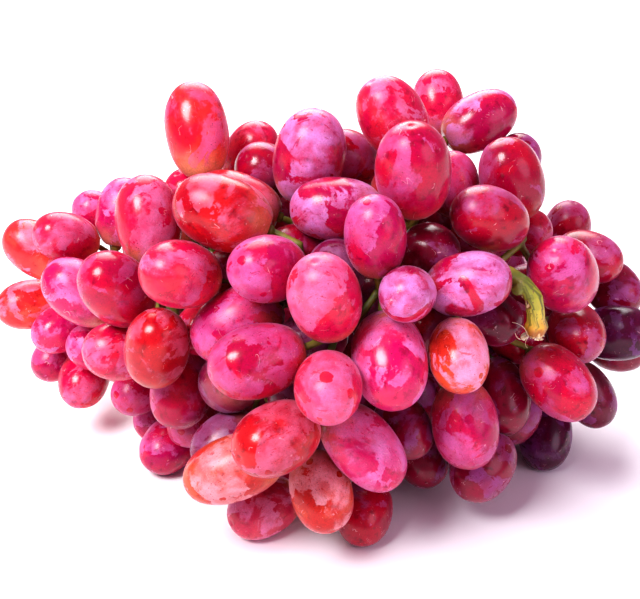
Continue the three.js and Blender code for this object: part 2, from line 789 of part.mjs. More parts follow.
function addNode(name, geometry, colour, roughness) {
  const material = new THREE.MeshStandardMaterial({ color: colour, roughness, metalness: 0 });
  const mesh = new THREE.Mesh(geometry, material);
  mesh.name = name;
  group.add(mesh);
}

for (const grape of faceGrapes) {
  const solid = grapeSolid(grape, SINGLE_SIDES, SINGLE_RINGS);
  addNode(grape.owner, toGeometry(solid), SKIN_COLOURS[grape.role], 0.35);
}
for (const [name] of SPRIGS) {
  let solid = stalksOf(name);
  for (const grape of grapes.filter((one) => one.owner === name)) {
    solid = solid.add(grapeSolid(grape, SPRIG_SIDES, SPRIG_RINGS));
  }
  addNode(name, toGeometry(withoutVoids(solid)), SPRIG_COLOUR, 0.4);
}
const stub = makeStalk(BROKEN_STUB_LINE.map(facePlace), PEDICEL_THICKNESS * 0.75, 'stem', 1);
const stemSolid = stalksOf('stem').add(stalkSolid(stub, 0));
addNode('stem', toGeometry(withoutVoids(stemSolid)), STALK_COLOUR, 0.6);

// The origin is under the middle of the whole bunch, on the table.
const box = new THREE.Box3().setFromObject(group);
const middle = box.getCenter(new THREE.Vector3());
for (const mesh of group.children) {
  mesh.geometry.translate(-middle.x, -middle.y, 0);
}

export default group;
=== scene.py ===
"""A bunch of large oval red grapes on its cut green stalk, lying on a pale table.

Laid out as an add-on and run as a script. Lengths are metres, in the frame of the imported
part: +X runs from the tail of the bunch to its head, -Y is the side it shows, +Z is up and
the table is z = 0. Every grape is found again in the frame's nodes, so nothing is placed by
hand: each node's faceted grapes are fitted with an ovoid, and its stalks are smoothed.
"""
import math

import bmesh
import bpy
import numpy as np
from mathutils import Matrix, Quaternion, Vector


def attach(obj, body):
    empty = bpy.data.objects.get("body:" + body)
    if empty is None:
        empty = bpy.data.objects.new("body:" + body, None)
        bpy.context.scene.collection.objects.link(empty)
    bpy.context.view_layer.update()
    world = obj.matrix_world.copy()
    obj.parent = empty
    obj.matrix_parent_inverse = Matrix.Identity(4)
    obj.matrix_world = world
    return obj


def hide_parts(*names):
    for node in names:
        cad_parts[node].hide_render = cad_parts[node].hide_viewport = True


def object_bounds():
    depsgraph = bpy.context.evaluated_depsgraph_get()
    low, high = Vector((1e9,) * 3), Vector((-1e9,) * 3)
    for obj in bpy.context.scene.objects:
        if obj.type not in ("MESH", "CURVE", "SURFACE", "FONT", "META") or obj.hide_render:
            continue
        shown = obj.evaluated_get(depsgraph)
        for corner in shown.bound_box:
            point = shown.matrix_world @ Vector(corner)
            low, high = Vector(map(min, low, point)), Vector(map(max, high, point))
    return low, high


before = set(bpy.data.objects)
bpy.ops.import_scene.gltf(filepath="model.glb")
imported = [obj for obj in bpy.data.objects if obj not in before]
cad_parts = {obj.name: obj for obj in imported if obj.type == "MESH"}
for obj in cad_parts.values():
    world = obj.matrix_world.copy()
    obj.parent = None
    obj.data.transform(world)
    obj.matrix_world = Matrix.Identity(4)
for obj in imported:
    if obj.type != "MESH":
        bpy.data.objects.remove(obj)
CAD_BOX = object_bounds()

bl_info = {
    "name": "Bunch of Grapes",
    "version": (1, 0, 0),
    "blender": (4, 5, 0),
    "location": "3D View > Sidebar > Grapes",
    "description": "Red oval grapes with bloom, their pedicels and the cut main stalk",
    "category": "Object",
}

MM = 0.001
STEM_NODE = "stem"
REGIONS = ("tail", "mid", "foot", "crown", "head")
SPRIG_PREFIX = "sprig_"

# ------------------------------------------------------------------ reading the frame
WELD = 2e-6  # loose triangles of a node are joined within this distance
CREASE = math.radians(28)  # an inward fold sharper than this parts a grape from a stalk
FAT = 6 * MM  # faces of a grape stand this far from its middle, those of a stalk don't
FIT_ROUNDS = 30
FIRST_SHAPE = 1.4  # half length over radius that a fit starts from
NUDGE = 1e-4  # of each of a fit's values, to see what it does
FIRST_TRUST = 0.8  # points this near to the ovoid, in millimetres, count in the first round
TRUST_SHARE = 0.82  # what each round keeps of it
LAST_TRUST = 0.03
LARGEST_CHANGE = 2
PRESS_ROUNDS = 12
PRESS_CHANGE = 0.7


class Grape:
    """One grape as an ovoid: its middle, long axis towards the tip, half length and radius."""

    def __init__(self, node, number, centre, axis, half, radius):
        self.node = node
        self.number = number
        self.centre = centre
        self.axis = axis
        self.half = half
        self.radius = radius
        self.walls = []

    @property
    def base(self):
        """The stem end."""
        return self.centre - self.axis * self.half

    def reach(self, direction):
        """Half thickness along a direction."""
        along = float(self.axis @ direction)
        return math.sqrt(self.radius**2 + (self.half**2 - self.radius**2) * along**2)

    def turn(self):
        """The turn that takes +Z to the long axis."""
        return Vector((0, 0, 1)).rotation_difference(Vector(self.axis))


def welded(node):
    """A node's mesh with its loose triangles joined, as a bmesh."""
    mesh = bmesh.new()
    mesh.from_mesh(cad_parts[node].data)
    bmesh.ops.remove_doubles(mesh, verts=mesh.verts, dist=WELD)
    mesh.normal_update()
    mesh.faces.ensure_lookup_table()
    mesh.verts.ensure_lookup_table()
    return mesh


def patches_of(mesh):
    """The faces in groups that meet without a sharp inward fold."""
    seen = set()
    patches = []
    for first in mesh.faces:
        if first.index in seen:
            continue
        seen.add(first.index)
        patch = [first]
        for face in patch:
            for edge in face.edges:
                if len(edge.link_faces) != 2 or edge.calc_face_angle_signed(0) < -CREASE:
                    continue
                for other in edge.link_faces:
                    if other.index not in seen:
                        seen.add(other.index)
                        patch.append(other)
        patches.append(patch)
    return patches


def fatness(patch):
    """How far a patch's faces stand from its middle, measured square to them."""
    areas = np.array([face.calc_area() for face in patch])
    middles = np.array([face.calc_center_median() for face in patch])
    normals = np.array([face.normal for face in patch])
    centre = (middles * areas[:, None]).sum(0) / areas.sum()
    stands = np.einsum("ij,ij->i", middles - centre, normals)
    return float((stands * areas).sum() / areas.sum())


def ovoid_error(values, points):
    """Distance of points outside an ovoid of revolution, about."""
    centre, axis, radius, half = values[:3], values[3:6], values[6], values[7]
    axis = axis / np.linalg.norm(axis)
    offset = points - centre
    along = offset @ axis
    aside = np.sqrt(np.maximum((offset**2).sum(1) - along**2, 0))
    return (np.hypot(along / half, aside / radius) - 1) * radius


def fit_ovoid(points):
    """The ovoid that most of the points lie on. Pressed and cut places are left out."""
    points = points / MM
    middle = points.mean(0)
    spread, directions = np.linalg.eigh(np.cov((points - middle).T))
    axis = directions[:, 2]
    along = (points - middle) @ axis
    half = (along.max() - along.min()) / 2
    radius = half / FIRST_SHAPE
    centre = middle + axis * (along.max() + along.min()) / 2
    values = np.concatenate([centre, axis, [radius, half]])
    for step in range(FIT_ROUNDS):
        errors = ovoid_error(values, points)
        slopes = np.empty((len(points), len(values)))
        for place in range(len(values)):
            moved = values.copy()
            moved[place] += NUDGE
            slopes[:, place] = (ovoid_error(moved, points) - errors) / NUDGE
        trust = max(LAST_TRUST, FIRST_TRUST * TRUST_SHARE**step)
        weights = 1 / (1 + (errors / trust) ** 2) ** 2
        normal = (slopes * weights[:, None]).T @ slopes + 1e-6 * np.eye(len(values))
        change = np.linalg.solve(normal, (slopes * weights[:, None]).T @ errors)
        values = values - np.clip(change, -LARGEST_CHANGE, LARGEST_CHANGE)
        values[3:6] /= np.linalg.norm(values[3:6])
    return values[:3] * MM, values[3:6], abs(values[7]) * MM, abs(values[6]) * MM


def read_node(node, stalk_points):
    """The grapes of a node, each turned so that its axis leads away from its stalk."""
    mesh = welded(node)
    grapes = []
    rest = []
    for patch in patches_of(mesh):
        if fatness(patch) > FAT:
            grapes.append(patch)
        else:
            rest.extend(face.calc_center_median() for face in patch)
    if rest:
        stalk_points = np.array(rest)
    found = []
    for patch in grapes:
        corners = {vert.index for face in patch for vert in face.verts}
        points = np.array([mesh.verts[index].co for index in sorted(corners)])
        centre, axis, half, radius = fit_ovoid(points)
        ends = [centre - axis * half, centre + axis * half]
        near = [np.linalg.norm(stalk_points - end, axis=1).min() for end in ends]
        if near[1] < near[0]:
            axis = -axis
        found.append(Grape(node, len(found), centre, axis, half, radius))
    mesh.free()
    return found


def surface_samples(node):
    """Points close together over a node's surface."""
    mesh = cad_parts[node].data
    corners = np.empty(len(mesh.vertices) * 3)
    mesh.vertices.foreach_get("co", corners)
    corners = corners.reshape(-1, 3)
    triangles = np.array([polygon.vertices for polygon in mesh.polygons])
    first, second, third = (corners[triangles[:, place]] for place in range(3))
    samples = [first, second, third]
    for split in (0.2, 0.5, 0.8):
        samples.append(first * split + second * (1 - split))
        samples.append(second * split + third * (1 - split))
        samples.append(third * split + first * (1 - split))
    return np.concatenate(samples)


def read_bunch():
    """All the grapes of the bunch, by node."""
    stem_points = surface_samples(STEM_NODE)
    bunch = {}
    for node in sorted(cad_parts):
        if node != STEM_NODE:
            bunch[node] = read_node(node, stem_points)
    return bunch


def separation(first, second):
    """The gap between two grapes and the direction it opens in."""
    apart = second.centre - first.centre
    distance = max(np.linalg.norm(apart), 1e-6)
    direction = apart / distance
    for _ in range(PRESS_ROUNDS):
        slope = apart.copy()
        for grape in (first, second):
            along = float(grape.axis @ direction)
            thickness = grape.reach(direction)
            slope -= direction * grape.radius**2 / thickness
            slope -= grape.axis * (grape.half**2 - grape.radius**2) * along / thickness
        slope -= direction * float(slope @ direction)
        direction = direction + slope * PRESS_CHANGE / distance
        direction /= np.linalg.norm(direction)
    gap = float(apart @ direction) - first.reach(direction) - second.reach(direction)
    return gap, direction


PRESS_MARGIN = 0.5 * MM  # grapes nearer than this are given a shared flat
LOWEST = 0.02 * MM  # nothing goes nearer to the table than this


def press_bunch(bunch):
    """Gives each grape the flats that its neighbours press on it. The table's flat is made later,
    in pressed.
    """
    grapes = [grape for group in bunch.values() for grape in group]
    for place, first in enumerate(grapes):
        for second in grapes[place + 1 :]:
            room = first.half + second.half + PRESS_MARGIN
            if np.linalg.norm(first.centre - second.centre) > room:
                continue
            gap, direction = separation(first, second)
            if gap < PRESS_MARGIN:
                near = float(first.centre @ direction) + first.reach(direction)
                far = float(second.centre @ direction) - second.reach(direction)
                middle = (near + far) / 2
                first.walls.append((direction, middle))
                second.walls.append((-direction, -middle))


BUNCH = read_bunch()
press_bunch(BUNCH)

# ------------------------------------------------------------------ colours of the skins
# A skin is [rubbed skin, its warm side, bloom, how much bloom, specks, paleness of stem end].
SKINS = {
    "ember": ("CE1030", "E42C2C", "DC5A8C", 0.36, 0.3, 0.7),
    "coral": ("DE2A30", "EE5440", "EC88AC", 0.42, 0.3, 0.8),
    "rose": ("CE0A48", "DE2240", "D86C9C", 0.44, 0.4, 0.6),
    "pink": ("C80C5C", "DA285C", "DC78B6", 0.56, 0.4, 0.5),
    "magenta": ("B00050", "C81048", "C85A9A", 0.48, 0.5, 0.3),
    "lilac": ("A80046", "C41440", "D084C4", 0.50, 0.5, 0.4),
    "crimson": ("AE003E", "C20436", "C4508A", 0.42, 0.5, 0.2),
    "scarlet": ("AE021C", "C8161E", "D06080", 0.44, 0.5, 0.4),
    "salmon": ("C42420", "D6502C", "E69CA6", 0.50, 0.8, 0.9),
    "amber": ("C82E20", "D84C28", "E898BC", 0.58, 0.9, 0.6),
    "blush": ("C4244C", "D03C54", "DE7CA8", 0.50, 0.3, 0.9),
    "cherry": ("980030", "B0042A", "B04E84", 0.42, 0.6, 0.2),
    "burgundy": ("7C002A", "920232", "9C4686", 0.40, 0.6, 0.1),
    "maroon": ("640026", "7A002E", "8C3474", 0.36, 0.6, 0.1),
    "plum": ("440026", "560030", "6E2A6C", 0.36, 0.6, 0.1),
    "mauve": ("780A3C", "941848", "94547E", 0.46, 0.5, 0.2),
    "ochre": ("9C4A30", "AE6C3A", "B87C80", 0.36, 0.5, 0.7),
}

# The skin of each single grape, in the order of its region's nodes.
REGION_SKINS = {
    "tail": "coral coral rose pink rose pink crimson scarlet rose crimson magenta pink rose",
    "mid": "scarlet rose magenta crimson rose magenta rose lilac magenta lilac lilac pink amber",
    "foot": "magenta pink scarlet salmon salmon blush cherry",
    "crown": "ember scarlet lilac rose crimson rose lilac cherry cherry",
    "head": "cherry magenta plum cherry crimson maroon plum burgundy maroon",
}
SPRIG_SKINS = {
    "sprig_tail": "rose pink magenta",
    "sprig_back_left": "rose crimson magenta lilac",
    "sprig_back_right": "crimson cherry magenta burgundy",
    "sprig_under_left": "rose blush crimson",
    "sprig_under_right": "burgundy cherry maroon",
    "sprig_crown": "mauve cherry ochre crimson",
    "sprig_head": "burgundy cherry plum maroon",
    "sprig_face": "cherry mauve ochre maroon",
}


def linear(code):
    """A colour code as linear RGBA."""
    channels = [int(code[place : place + 2], 16) / 255 for place in (0, 2, 4)]
    shares = [((c + 0.055) / 1.055) ** 2.4 if c > 0.04045 else c / 12.92 for c in channels]
    return (*shares, 1.0)


# ------------------------------------------------------------------ the user's settings
class GrapeShape(bpy.types.PropertyGroup):
    """Sizes of the grapes' fine surface."""

    segments: bpy.props.IntProperty(
        name="Segments", description="Faces round a shown grape", default=72, min=12, max=160
    )
    tucked_segments: bpy.props.IntProperty(
        name="Tucked segments", description="Faces round a grape of a sprig", default=56, min=12
    )
    bluntness: bpy.props.FloatProperty(
        name="Bluntness", description="Fullness of the shoulders", default=0.028, min=0, max=0.2
    )
    dimple: bpy.props.FloatProperty(
        name="Dimple", description="Depth of the hollow at the stem end over the half length",
        default=0.09, min=0, max=0.3, subtype="FACTOR",
    )
    lumpiness: bpy.props.FloatProperty(
        name="Lumpiness", description="Height of the slow waves of the skin", default=0.5 * MM,
        min=0, unit="LENGTH",
    )
    rim: bpy.props.FloatProperty(
        name="Pressed rim", description="Roundness of the rim of a pressed flat",
        default=0.12 * MM, min=1e-6, unit="LENGTH",
    )


class StalkShape(bpy.types.PropertyGroup):
    """Sizes of the stalks' fine surface."""

    grain: bpy.props.FloatProperty(
        name="Grain", description="Size of the cells the stalks are resurfaced with",
        default=0.42 * MM, min=0.2 * MM, unit="LENGTH",
    )
    plumpness: bpy.props.FloatProperty(
        name="Plumpness", description="How much the smoothed stalks are swollen again",
        default=0.30 * MM, min=0, unit="LENGTH",
    )
    ridges: bpy.props.FloatProperty(
        name="Ridges", description="Height of the ridges along the main stalk",
        default=0.16 * MM, min=0, unit="LENGTH",
    )
    collar: bpy.props.FloatProperty(
        name="Collar", description="Radius of the swollen end of a pedicel", default=1.75 * MM,
        min=0.5 * MM, unit="LENGTH",
    )
    fibres: bpy.props.IntProperty(
        name="Fibres", description="Frayed fibres at the cut end", default=90, min=0, max=400
    )


class StageLook(bpy.types.PropertyGroup):
    """The table, the lights and the camera."""

    table_colour: bpy.props.FloatVectorProperty(
        name="Table", description="Colour of the table", default=(0.93, 0.93, 0.94),
        size=3, subtype="COLOR", min=0, max=1,
    )
    key_power: bpy.props.FloatProperty(
        name="Key light", description="Power of the large light at the upper left", default=11.5,
        min=0, unit="POWER",
    )
    fill_power: bpy.props.FloatProperty(
        name="Fill light", description="Power of the light from the right", default=2.0,
        min=0, unit="POWER",
    )
    air: bpy.props.FloatProperty(
        name="Air", description="Brightness of the white room around", default=0.34, min=0
    )
    distance: bpy.props.FloatProperty(
        name="Camera distance", description="Camera to the middle of the bunch",
        default=330 * MM, min=0.05, unit="LENGTH",
    )
    elevation: bpy.props.FloatProperty(
        name="Camera elevation", description="Angle the camera looks down at",
        default=math.radians(25), subtype="ANGLE",
    )
    lens: bpy.props.FloatProperty(
        name="Lens", description="Focal length on a 36 mm sensor, in millimetres", default=58.0
    )


# ------------------------------------------------------------------ node tree helpers
class Tree:
    """A node tree that is built one node at a time."""

    def __init__(self, tree):
        self.tree = tree

    def add(self, kind, *inputs, **settings):
        """A node with its settings, its inputs linked or set in order (None leaves one)."""
        node = self.tree.nodes.new(kind)
        for name, value in settings.items():
            setattr(node, name, value)
        for place, value in enumerate(inputs):
            self.put(node.inputs[place], value)
        return node

    def put(self, socket, value):
        """Links a socket or sets its value."""
        if value is None:
            return
        if isinstance(value, bpy.types.NodeSocket):
            self.tree.links.new(value, socket)
        elif isinstance(value, bpy.types.Node):
            self.tree.links.new(value.outputs[0], socket)
        else:
            socket.default_value = value

    def math(self, operation, *inputs):
        """Arithmetic on numbers."""
        return self.add("ShaderNodeMath", *inputs, operation=operation)

    def vector(self, operation, *inputs):
        """Arithmetic on vectors."""
        return self.add("ShaderNodeVectorMath", *inputs, operation=operation)

    def ramp(self, *inputs, kind="LINEAR"):
        """A value taken from one range to another."""
        return self.add("ShaderNodeMapRange", *inputs, interpolation_type=kind)

    def smooth(self, *inputs):
        """A value taken from one range to another with soft ends."""
        return self.ramp(*inputs, kind="SMOOTHSTEP")

    def noise(self, place, **inputs):
        """A cloudy pattern at a place."""
        return self.named(self.add("ShaderNodeTexNoise"), Vector=place, **inputs)

    def stored(self, name, kind):
        """An attribute of the points."""
        return self.add("GeometryNodeInputNamedAttribute", name, data_type=kind)

    def named(self, node, **inputs):
        """Sets a node's inputs by name, with _ for a space."""
        for name, value in inputs.items():
            self.put(node.inputs[name.replace("_", " ")], value)
        return node


def group_tree(kind, name, inputs, outputs):
    """An empty node group with named sockets, and its ends."""
    group = bpy.data.node_groups.new(name, kind)
    for title, socket_type, value in inputs:
        socket = group.interface.new_socket(title, in_out="INPUT", socket_type=socket_type)
        if value is not None:
            socket.default_value = value
    for title, socket_type in outputs:
        group.interface.new_socket(title, in_out="OUTPUT", socket_type=socket_type)
    tree = Tree(group)
    return tree, tree.add("NodeGroupInput"), tree.add("NodeGroupOutput")


def run_geometry(obj, group, **values):
    """Runs a geometry tree on an object and leaves the result as its plain mesh."""
    modifier = obj.modifiers.new("geometry", "NODES")
    modifier.node_group = group
    sockets = {item.name: item.identifier for item in group.interface.items_tree
               if item.item_type == "SOCKET" and item.in_out == "INPUT"}
    for title, value in values.items():
        modifier[sockets[title.replace("_", " ")]] = value
    return settled(obj)


def settled(obj):
    """Applies every modifier of an object by taking its evaluated mesh."""
    graph = bpy.context.evaluated_depsgraph_get()
    mesh = bpy.data.meshes.new_from_object(obj.evaluated_get(graph))
    old = obj.data
    obj.modifiers.clear()
    obj.data = mesh
    bpy.data.meshes.remove(old)
    mesh.name = obj.name
    return obj


def new_object(name, mesh):
    """A new object in the scene."""
    obj = bpy.data.objects.new(name, mesh)
    bpy.context.scene.collection.objects.link(obj)
    return obj


def coordinates(mesh):
    """A mesh's vertex places as an array."""
    places = np.empty(len(mesh.vertices) * 3)
    mesh.vertices.foreach_get("co", places)
    return places.reshape(-1, 3)


def put_attribute(mesh, name, kind, field, values):
    """Stores one value for each vertex."""
    attribute = mesh.attributes.new(name, kind, "POINT")
    attribute.data.foreach_set(field, np.asarray(values, dtype=np.float32).ravel())


def unit(vector):
    """A vector of length 1."""
    return vector / np.linalg.norm(vector)


def turned_points(name, places, turns, sizes):
    """Points that carry a turn and a size."""
    mesh = bpy.data.meshes.new(name)
    mesh.from_pydata([tuple(place) for place in places], [], [])
    mesh.attributes.new("turn", "QUATERNION", "POINT")
    mesh.attributes["turn"].data.foreach_set("value", np.array(turns, dtype=np.float32).ravel())
    put_attribute(mesh, "size", "FLOAT_VECTOR", "vector", sizes)
    return new_object(name, mesh)


# ------------------------------------------------------------------ geometry of a grape
def grape_tree():
    """Points with a turn and a size become shaped grapes, as one mesh."""
    tree, start, end = group_tree(
        "GeometryNodeTree", "Grape skins",
        [("Geometry", "NodeSocketGeometry", None), ("Segments", "NodeSocketInt", 72),
         ("Bluntness", "NodeSocketFloat", 0.03), ("Dimple", "NodeSocketFloat", 0.08),
         ("Lumpiness", "NodeSocketFloat", 0.0005), ("Material", "NodeSocketMaterial", None)],
        [("Geometry", "NodeSocketGeometry")],
    )
    rings = tree.math("MULTIPLY", start.outputs["Segments"], 0.66)
    ball = tree.add("GeometryNodeMeshUVSphere", start.outputs["Segments"], rings, 1.0)
    place = tree.add("GeometryNodeInputPosition")
    kept = tree.add("GeometryNodeStoreNamedAttribute", data_type="FLOAT_VECTOR", domain="POINT")
    tree.named(kept, Geometry=ball, Name="skin_place", Value=place)
    parts = tree.add("ShaderNodeSeparateXYZ", place)
    square = tree.math("POWER", parts.outputs[2], 2.0)
    side = tree.math("SUBTRACT", 1.0, square)
    shoulder = tree.math("MULTIPLY", square, side)
    fuller = tree.math("MULTIPLY", shoulder, start.outputs["Bluntness"])
    fuller = tree.math("MULTIPLY_ADD", fuller, 4.0, 1.0)
    blunt = tree.named(tree.vector("SCALE", place), Scale=fuller)
    aside = tree.math("SQRT", side)
    hollow = tree.smooth(aside, 0.0, 0.42, 1.0, 0.0)
    below = tree.math("LESS_THAN", parts.outputs[2], 0.0)
    hollow = tree.math("MULTIPLY", hollow, below)
    sink = tree.math("MULTIPLY", hollow, start.outputs["Dimple"])
    scar = tree.smooth(aside, 0.03, 0.11, 0.035, 0.0)
    above = tree.math("SUBTRACT", 1.0, below)
    scar = tree.math("MULTIPLY", scar, above)
    lift = tree.math("SUBTRACT", sink, scar)
    offset = tree.add("ShaderNodeCombineXYZ", 0.0, 0.0, lift)
    shaped = tree.vector("ADD", blunt, offset)
    moved = tree.named(tree.add("GeometryNodeSetPosition"), Geometry=kept, Position=shaped)
    turn = tree.stored("turn", "QUATERNION")
    size = tree.stored("size", "FLOAT_VECTOR")
    placed = tree.named(tree.add("GeometryNodeInstanceOnPoints"), Points=start.outputs["Geometry"],
                        Instance=moved, Rotation=turn, Scale=size)
    solid = tree.add("GeometryNodeRealizeInstances", placed)
    own = tree.stored("skin_place", "FLOAT_VECTOR")
    seed = tree.stored("seed", "FLOAT_VECTOR")
    shifted = tree.vector("ADD", own, seed)
    waves = tree.noise(shifted, Scale=1.1, Detail=1.0)
    height = tree.math("SUBTRACT", waves.outputs[0], 0.5)
    height = tree.math("MULTIPLY", height, start.outputs["Lumpiness"])
    normal = tree.add("GeometryNodeInputNormal")
    wave = tree.named(tree.vector("SCALE", normal), Scale=height)
    lumpy = tree.named(tree.add("GeometryNodeSetPosition"), Geometry=solid, Offset=wave)
    smooth = tree.add("GeometryNodeSetShadeSmooth", lumpy)
    painted = tree.named(tree.add("GeometryNodeSetMaterial"), Geometry=smooth,
                         Material=start.outputs["Material"])
    tree.put(end.inputs[0], painted)
    return tree.tree


HARD = 30  # this many rims inside a flat, its soft rim makes no difference


def pressed(places, grape, rim):
    """A grape's vertices pushed back behind its flats, with a soft rim."""
    for _ in range(2):
        for direction, limit in grape.walls:
            over = (limit - places @ direction) / rim
            soft = np.where(over > HARD, over, np.log1p(np.exp(np.minimum(over, HARD))))
            places = places - np.outer((soft - over) * rim, direction)
    places[:, 2] = np.maximum(places[:, 2], LOWEST)
    return places


SCRAMBLE = 7919  # keeps numbers of like texts apart
PRIME = 100003  # stable numbers are counted round this
COVER_SPREAD = 0.16  # how much the bloom differs between grapes of one skin
SEED_SPREAD = 40  # how far apart in the pattern grapes are


def stable_number(text):
    """A number from 0 to 1 that is always the same for the same text."""
    value = 7
    for letter in text:
        value = (value * 31 + ord(letter)) % PRIME
    return value / PRIME


def skin_of(grape):
    """The skin named for a grape."""
    region = grape.node.split("_")[0]
    if region in REGION_SKINS:
        number = int(grape.node.rsplit("_", 1)[1])
        return SKINS[REGION_SKINS[region].split()[number - 1]]
    choices = SPRIG_SKINS[grape.node].split()
    luck = stable_number(f"{grape.node}{grape.number}") * SCRAMBLE
    return SKINS[choices[int(luck) % len(choices)]]


def grape_points(name, grapes):
    """One point for each grape, with all that its skin is made from."""
    sizes = [(grape.radius, grape.radius, grape.half) for grape in grapes]
    turns = [grape.turn() for grape in grapes]
    obj = turned_points(name, [grape.centre for grape in grapes], turns, sizes)
    mesh = obj.data
    skins = [skin_of(grape) for grape in grapes]
    for place, title in enumerate(("skin_colour", "warm_colour", "bloom_colour")):
        colours = [linear(skin[place]) for skin in skins]
        put_attribute(mesh, title, "FLOAT_COLOR", "color", colours)
    cover = []
    seeds = []
    for grape, skin in zip(grapes, skins):
        luck = stable_number(f"cover {grape.node} {grape.number}")
        cover.append((skin[3] + COVER_SPREAD * (luck - 0.5), skin[4], skin[5]))
        key = f"{grape.node} {grape.number}"
        seeds.append([SEED_SPREAD * stable_number(f"{axis} {key}") for axis in "xyz"])
    put_attribute(mesh, "skin_cover", "FLOAT_VECTOR", "vector", cover)
    put_attribute(mesh, "seed", "FLOAT_VECTOR", "vector", seeds)
    put_attribute(mesh, "grape_number", "FLOAT", "value", range(len(grapes)))
    return obj


def build_grapes(name, grapes, segments, material):
    """The grapes of one node as one finished mesh object."""
    shape = bpy.context.scene.grape_shape
    tree = bpy.data.node_groups.get("Grape skins") or grape_tree()
    obj = grape_points(name, grapes)
    run_geometry(obj, tree, Segments=segments, Bluntness=shape.bluntness, Dimple=shape.dimple,
                 Lumpiness=shape.lumpiness, Material=material)
    places = coordinates(obj.data)
    numbers = np.empty(len(places))
    obj.data.attributes["grape_number"].data.foreach_get("value", numbers)
    for number, grape in enumerate(grapes):
        own = np.rint(numbers).astype(int) == number
        places[own] = pressed(places[own], grape, shape.rim)
    obj.data.vertices.foreach_set("co", places.ravel())
    for spare in ("turn", "size", "grape_number"):
        if spare in obj.data.attributes:
            obj.data.attributes.remove(obj.data.attributes[spare])
    obj.data.update()
    return obj


# ------------------------------------------------------------------ shader node groups
def shader_group(name, inputs, outputs):
    """An empty shader node group and its ends."""
    return group_tree("ShaderNodeTree", name, inputs, outputs)


def bloom_group():
    """Wax that covers a skin except where it was rubbed: large torn patches, round touch
    marks and fine wipes."""
    tree, start, end = shader_group(
        "Rubbed bloom",
        [("Place", "NodeSocketVector", None), ("Cover", "NodeSocketFloat", 0.5)],
        [("Mask", "NodeSocketFloat"), ("Touch", "NodeSocketFloat")],
    )
    place = start.outputs["Place"]
    patches = tree.noise(place, Scale=0.72, Detail=4.0, Roughness=0.58, Distortion=0.5)
    dust = tree.noise(place, Scale=15.0, Detail=3.0, Roughness=0.7)
    dusty = tree.math("MULTIPLY_ADD", dust.outputs[0], 0.07, patches.outputs[0])
    softness = tree.noise(place, Scale=1.1, Detail=0.0)
    softness = tree.ramp(softness.outputs[1], 0.42, 0.62, 0.010, 0.085)
    edge = tree.ramp(start.outputs["Cover"], 0.0, 1.0, 0.70, 0.37)
    low = tree.math("SUBTRACT", edge, softness)
    high = tree.math("ADD", edge, softness)
    torn = tree.smooth(dusty, low, high, 0.0, 1.0)
    wobble = tree.noise(place, Scale=5.0, Detail=2.0)
    bent = tree.vector("MULTIPLY_ADD", wobble.outputs[1], (0.12, 0.12, 0.12), place)
    cells = tree.named(tree.add("ShaderNodeTexVoronoi", feature="F1"), Vector=bent, Scale=1.3,
                       Randomness=1.0)
    width = tree.add("ShaderNodeSeparateColor", cells.outputs["Color"])
    width = tree.ramp(width.outputs[0], 0.0, 1.0, -0.24, 0.27)
    outer = tree.math("ADD", width, 0.02)
    touch = tree.smooth(cells.outputs["Distance"], width, outer, 1.0, 0.0)
    stretched = tree.vector("MULTIPLY", place, (2.0, 9.0, 2.6))
    wipes = tree.noise(stretched, Scale=1.0, Detail=4.0, Roughness=0.65, Distortion=0.4)
    wiped = tree.smooth(wipes.outputs[0], 0.60, 0.66, 1.0, 0.35)
    bare = tree.math("SUBTRACT", 1.0, touch)
    mask = tree.math("MULTIPLY", torn, bare)
    mask = tree.math("MULTIPLY", mask, wiped)
    tree.put(end.inputs["Mask"], mask)
    tree.put(end.inputs["Touch"], touch)
    return tree.tree


def speck_group():
    """Tiny dots scattered over a skin: a share of the cells of a fine pattern."""
    tree, start, end = shader_group(
        "Specks",
        [("Place", "NodeSocketVector", None), ("Scale", "NodeSocketFloat", 20.0),
         ("Size", "NodeSocketFloat", 0.12), ("Share", "NodeSocketFloat", 0.4)],
        [("Mask", "NodeSocketFloat")],
    )
    cells = tree.named(tree.add("ShaderNodeTexVoronoi", feature="F1"),
                       Vector=start.outputs["Place"], Scale=start.outputs["Scale"], Randomness=1.0)
    chance = tree.add("ShaderNodeSeparateColor", cells.outputs["Color"])
    picked = tree.math("LESS_THAN", chance.outputs[0], start.outputs["Share"])
    size = tree.math("MULTIPLY", chance.outputs[1], start.outputs["Size"])
    inner = tree.math("MULTIPLY", size, 0.5)
    dot = tree.smooth(cells.outputs["Distance"], inner, size, 1.0, 0.0)
    mask = tree.math("MULTIPLY", dot, picked)
    tree.put(end.inputs["Mask"], mask)
    return tree.tree


def scratch_group():
    """Short thin scratches: the middle line of a slow pattern, here and there."""
    tree, start, end = shader_group(
        "Scratches",
        [("Place", "NodeSocketVector", None), ("Scale", "NodeSocketFloat", 1.5),
         ("Width", "NodeSocketFloat", 0.006)],
        [("Mask", "NodeSocketFloat")],
    )
    lines = tree.noise(start.outputs["Place"], Scale=start.outputs["Scale"], Detail=1.5,
                       Distortion=1.2)
    middle = tree.math("SUBTRACT", lines.outputs[0], 0.5)
    middle = tree.math("ABSOLUTE", middle)
    line = tree.ramp(middle, 0.0, start.outputs["Width"], 1.0, 0.0)
    places = tree.noise(start.outputs["Place"], Scale=3.1, Detail=1.0)
    there = tree.smooth(places.outputs[0], 0.60, 0.66, 0.0, 1.0)
    mask = tree.math("MULTIPLY", line, there)
    tree.put(end.inputs["Mask"], mask)
    return tree.tree


